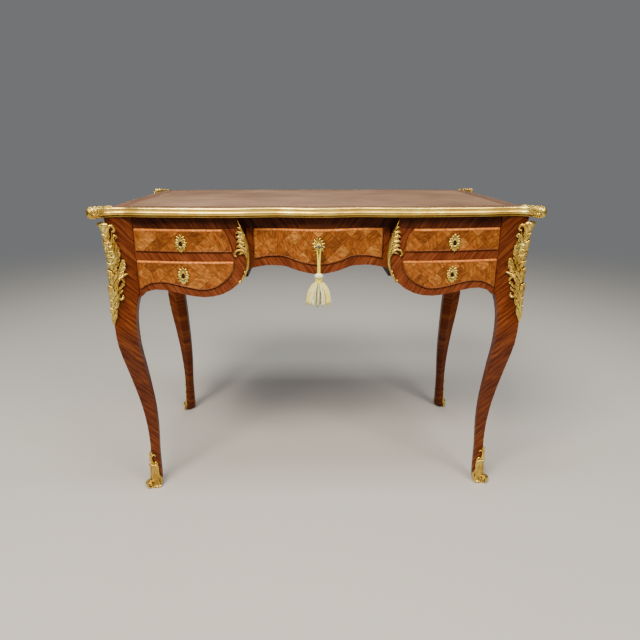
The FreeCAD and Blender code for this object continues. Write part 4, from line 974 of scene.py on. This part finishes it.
# Middle drawer: a drop in its middle
half, low = 156 - lip_inset, 634 + lip_inset
right = [(half * across, low + 85 * rise) for across, rise in (
    (0, 0), (0.14, 0.018), (0.34, 0.094), (0.48, 0.188), (0.61, 0.223), (0.82, 0.2), (1, 0.129),
)]
curve = [(-x, z) for x, z in reversed(right[1:])] + right
centre_outline = (curve, [(half, drawer_top), (-half, drawer_top)])


def lip_shape(curve, corners, skin):
    """Half-round strips along each side of a drawer, overlapping at the corners."""
    shape = bmesh.new()
    highest = max(z for _, z in curve + corners)
    ends = [curve[-1]] + corners + [curve[0]]
    for run in [curve] + list(zip(ends, ends[1:])):
        along_top = len(run) == 2 and run[0][1] == run[1][1] == highest
        if len(run) == 2:
            (x0, z0), (x1, z1) = run
            run = [(x0 + (x1 - x0) * k / 12, z0 + (z1 - z0) * k / 12) for k in range(13)]
        half, tall = top_lip if along_top else other_lip
        route = [(x, z, 0.1) for x, z in run]
        for face in strand((shape, skin, 1), route, (half, half), (tall, tall), samples=60, around=12):
            # Top run: painted highlight colour; other runs: painted shade colour
            face.material_index = 0 if along_top else 1
    return shape


lip_highlight_and_shade_grains = (lip_painted_highlight_grain, lip_painted_shade_grain)
for level, outline, rows, hands in (
    ("upper", upper_outline, pedestal_face, {"upper_right": 1, "upper_left": -1}),
    ("lower", lower_outline, pedestal_face, {"lower_right": 1, "lower_left": -1}),
    ("centre", centre_outline, centre_face, {"centre": 1}),
):
    shape = lip_shape(*outline, front_skin(rows, 0))
    for drawer, way in hands.items():
        finished("lip_" + drawer, shape.copy(), lip_highlight_and_shade_grains, ((way, 1),), drawer + "_drawer")
    behind = [(way, -1) for way in hands.values()]
    finished("lip_behind_" + level, shape, lip_highlight_and_shade_grains, behind)

# Locks and key
# Cast brass cases and forged steel bolts, filed and left dull, and a steel key polished by use.


def filed_metal(name, dark, bright, scratch, shine):
    """Filed metal: dull in its scratches, brighter between them."""
    material, add, place = new_material(name)
    scratches = grain(add, place, scratch)
    rough = add("MapRange", {0: scratches, 1: 0.3, 2: 0.7, 3: shine, 4: shine + 0.2})
    colour = add("ValToRGB", {0: scratches}, stops=((0.3, dark), (0.7, bright)))
    metal = add("BsdfPrincipled", {"Base Color": colour, "Metallic": 1.0, "Roughness": rough})
    add("OutputMaterial", {0: metal})
    return material


# Scratches in mm, coarser than the real ones so that they show
dull_brass = filed_metal("dull_brass", "#8f7335", "#b3944f", (1.111, 16.67, 16.67), 0.35)
worn_steel = filed_metal("worn_steel", "#6f6c68", "#a5a29c", (16.67, 1.111, 16.67), 0.3)
for drawer in drawer_names:
    dress(drawer + "_drawer_lock", dull_brass)
    dress(drawer + "_drawer_bolt", worn_steel)
dress("key", worn_steel)

# Tassel
# A doubled cord of yellow silk hangs over the key's shank and holds a turned wooden head
# wound with cream silk, a yellow binding, and a full fringe of cream, grey and gold threads.

# Width, width and length in mm, coarser than real silk so that the threads show
twisted_thread = (1.111, 1.111, 2)
floss = (1.111, 1.111, 25)


def silk(name, colours, thread, sheen=0.4):
    """Silk floss with its own soft sheen."""
    material, add, place = new_material(name)
    strands = grain(add, place, thread)
    colour = add("ValToRGB", {0: strands}, stops=tuple(zip((0.3, 0.5, 0.7), colours)))
    bump = add("Bump", {"Height": strands, "Strength": 0.5, "Distance": 0.6 * MM})
    add("OutputMaterial", {0: add("BsdfPrincipled", {
        "Base Color": colour, "Roughness": 0.55, "Normal": bump, "Sheen Weight": sheen,
        "Sheen Roughness": 0.4,
    })})
    return material


gold_silk = silk("yellow_silk_cord", ("#e2bc2c", "#fff042", "#fffd86"), twisted_thread, sheen=0.0)
cream_silk = silk("cream_silk_floss", ("#c2bd8c", "#f8f3b8", "#fffdd2"), floss)
grey_silk = silk("grey_silk_floss", ("#4f4f42", "#8b8a76", "#c6c4aa"), floss)
tassel_y = -0.2785
keyhole_centre_z = 0.682
cord_diameter = 3.4 * MM
# The route over the key's shank, x and height above the keyhole's centre, in mm
loop_route = [
    (-1.7, -63.5), (-1.65, -36.0), (-3.1, -16.0), (-5.0, 4.7), (5.0, 4.7), (3.1, -16.0), (1.65, -36.0),
    (1.7, -63.5),
]
curve = bpy.data.curves.new("tassel_cord", "CURVE")
curve.dimensions = "3D"
curve.bevel_depth = cord_diameter / 2
curve.bevel_resolution = 5
curve.use_fill_caps = True
line = curve.splines.new("NURBS")
line.points.add(len(loop_route) - 1)
for point, (x, rise) in zip(line.points, loop_route):
    point.co = (x * MM, tassel_y, keyhole_centre_z + rise * MM, 1.0)
line.order_u = 3
line.use_endpoint_u = True
line.resolution_u = 12
tassel_cord = bpy.data.objects.new("tassel_cord", curve)
bpy.context.collection.objects.link(tassel_cord)
curve.materials.append(gold_silk)
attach(tassel_cord, "tassel")
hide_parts("tassel_loop")

# Head: a turned ball wound with cream floss, then a band of yellow cord
head_radius = 10
head_half_height = 7.2
head_middle_z = 611.2
band_radius = 7.2
band_top_z = 603.6
band_pitch = 1.9


def ring_at(shape, z, wide, deep, count, rib, twist, ribs):
    """One level ring of the tassel in mm, its edge ribbed."""
    ring = []
    for turn in turns(count):
        swell = 1 + rib * math.cos(ribs * turn + twist)
        x, y = wide * swell * math.cos(turn), tassel_y / MM + deep * swell * math.sin(turn)
        ring.append(shape.verts.new(Vector((x, y, z)) * MM))
    return ring


shape = bmesh.new()
rows = []
for k in range(17):
    tilt = math.pi * (0.06 + 0.84 * k / 16)
    wide = head_radius * math.sin(tilt)
    z = head_middle_z + head_half_height * math.cos(tilt)
    rows.append(ring_at(shape, z, wide, wide, 72, 0.035, 2.4 * tilt, 18))
band(shape, rows)
shape.faces.new(rows[0][::-1])
for k in range(5):
    loops = []
    for around in turns(8):
        wide = band_radius + 0.25 * abs(k - 2) + 1.1 * math.cos(around)
        z = band_top_z - band_pitch * k + 1.15 * math.sin(around)
        loops.append(ring_at(shape, z, wide, wide, 48, 0.02, 3 * around, 24))
    for face in band(shape, loops + loops[:1]):
        face.material_index = 1
head = finished("wound_tassel_head", shape, (cream_silk, gold_silk), body="tassel")
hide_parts("tassel_head")

# Fringe: locks of threads that part a little, cream with grey and gold ones between, over a
# grey core
skirt_width = (0.3, 0.54, 0.69, 0.79, 0.87, 0.93, 0.97, 1.0, 0.97)
skirt_depth = (0.6, 0.66, 0.72, 0.79, 0.86, 0.92, 0.97, 1.0)
core_size = (24.5, 8)
core_top_z = 596
core_length = 50
fringe_size = (29, 11.2)
fringe_top_z = 596.5
fringe_length = 56.5
thread_radius = 0.75
locks = 15
threads_in_lock = 17
dice = random.Random(11)
shape = bmesh.new()
core = []
for k in range(9):
    share = k / 8
    wide = core_size[0] * smooth_value(skirt_width, share)
    deep = core_size[1] * smooth_value(skirt_depth, share)
    core.append(ring_at(shape, core_top_z - core_length * share, wide, deep, 24, 0.05, 0, 12))
for face in capped(shape, core):
    face.material_index = 1
for lock in range(locks):
    middle = 2 * math.pi * (lock + 0.3 * dice.random()) / locks
    reach = 1.04 - 0.11 * abs(math.cos(middle)) ** 2 + 0.03 * dice.uniform(-1, 1)
    tint = (0, 1, 0, 2, 0)[lock % 5]
    for thread in range(threads_in_lock):
        spot = dice.uniform(-1, 1)
        depth = dice.uniform(0.9, 1.03)
        colour = tint if dice.random() < 0.6 else dice.choice((0, 0, 1, 2))
        ragged = min(reach + 0.03 * dice.uniform(-1, 1) - 0.04 * abs(spot), 1.04)
        rows = []
        for k in range(10):
            share = k / 9
            open_by = 0.92 - 0.4 * max(0.0, share - 0.25)
            turn = middle + spot * math.pi / locks * open_by
            wide = fringe_size[0] * smooth_value(skirt_width, share) * depth
            deep = fringe_size[1] * smooth_value(skirt_depth, share) * depth
            sway = 0.5 * math.sin(7 * share + 9 * spot)
            z = fringe_top_z - fringe_length * share * ragged
            at = Vector((wide * math.cos(turn) + sway, tassel_y / MM + deep * math.sin(turn), z))
            rows.append([
                shape.verts.new((at + Vector((math.cos(around), math.sin(around), 0)) * thread_radius) * MM)
                for around in turns(5)
            ])
        for face in band(shape, rows) + [shape.faces.new(rows[-1])]:
            face.material_index = colour
fringe = finished("tassel_fringe", shape, (cream_silk, grey_silk, gold_silk), body="tassel")
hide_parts("tassel_skirt")
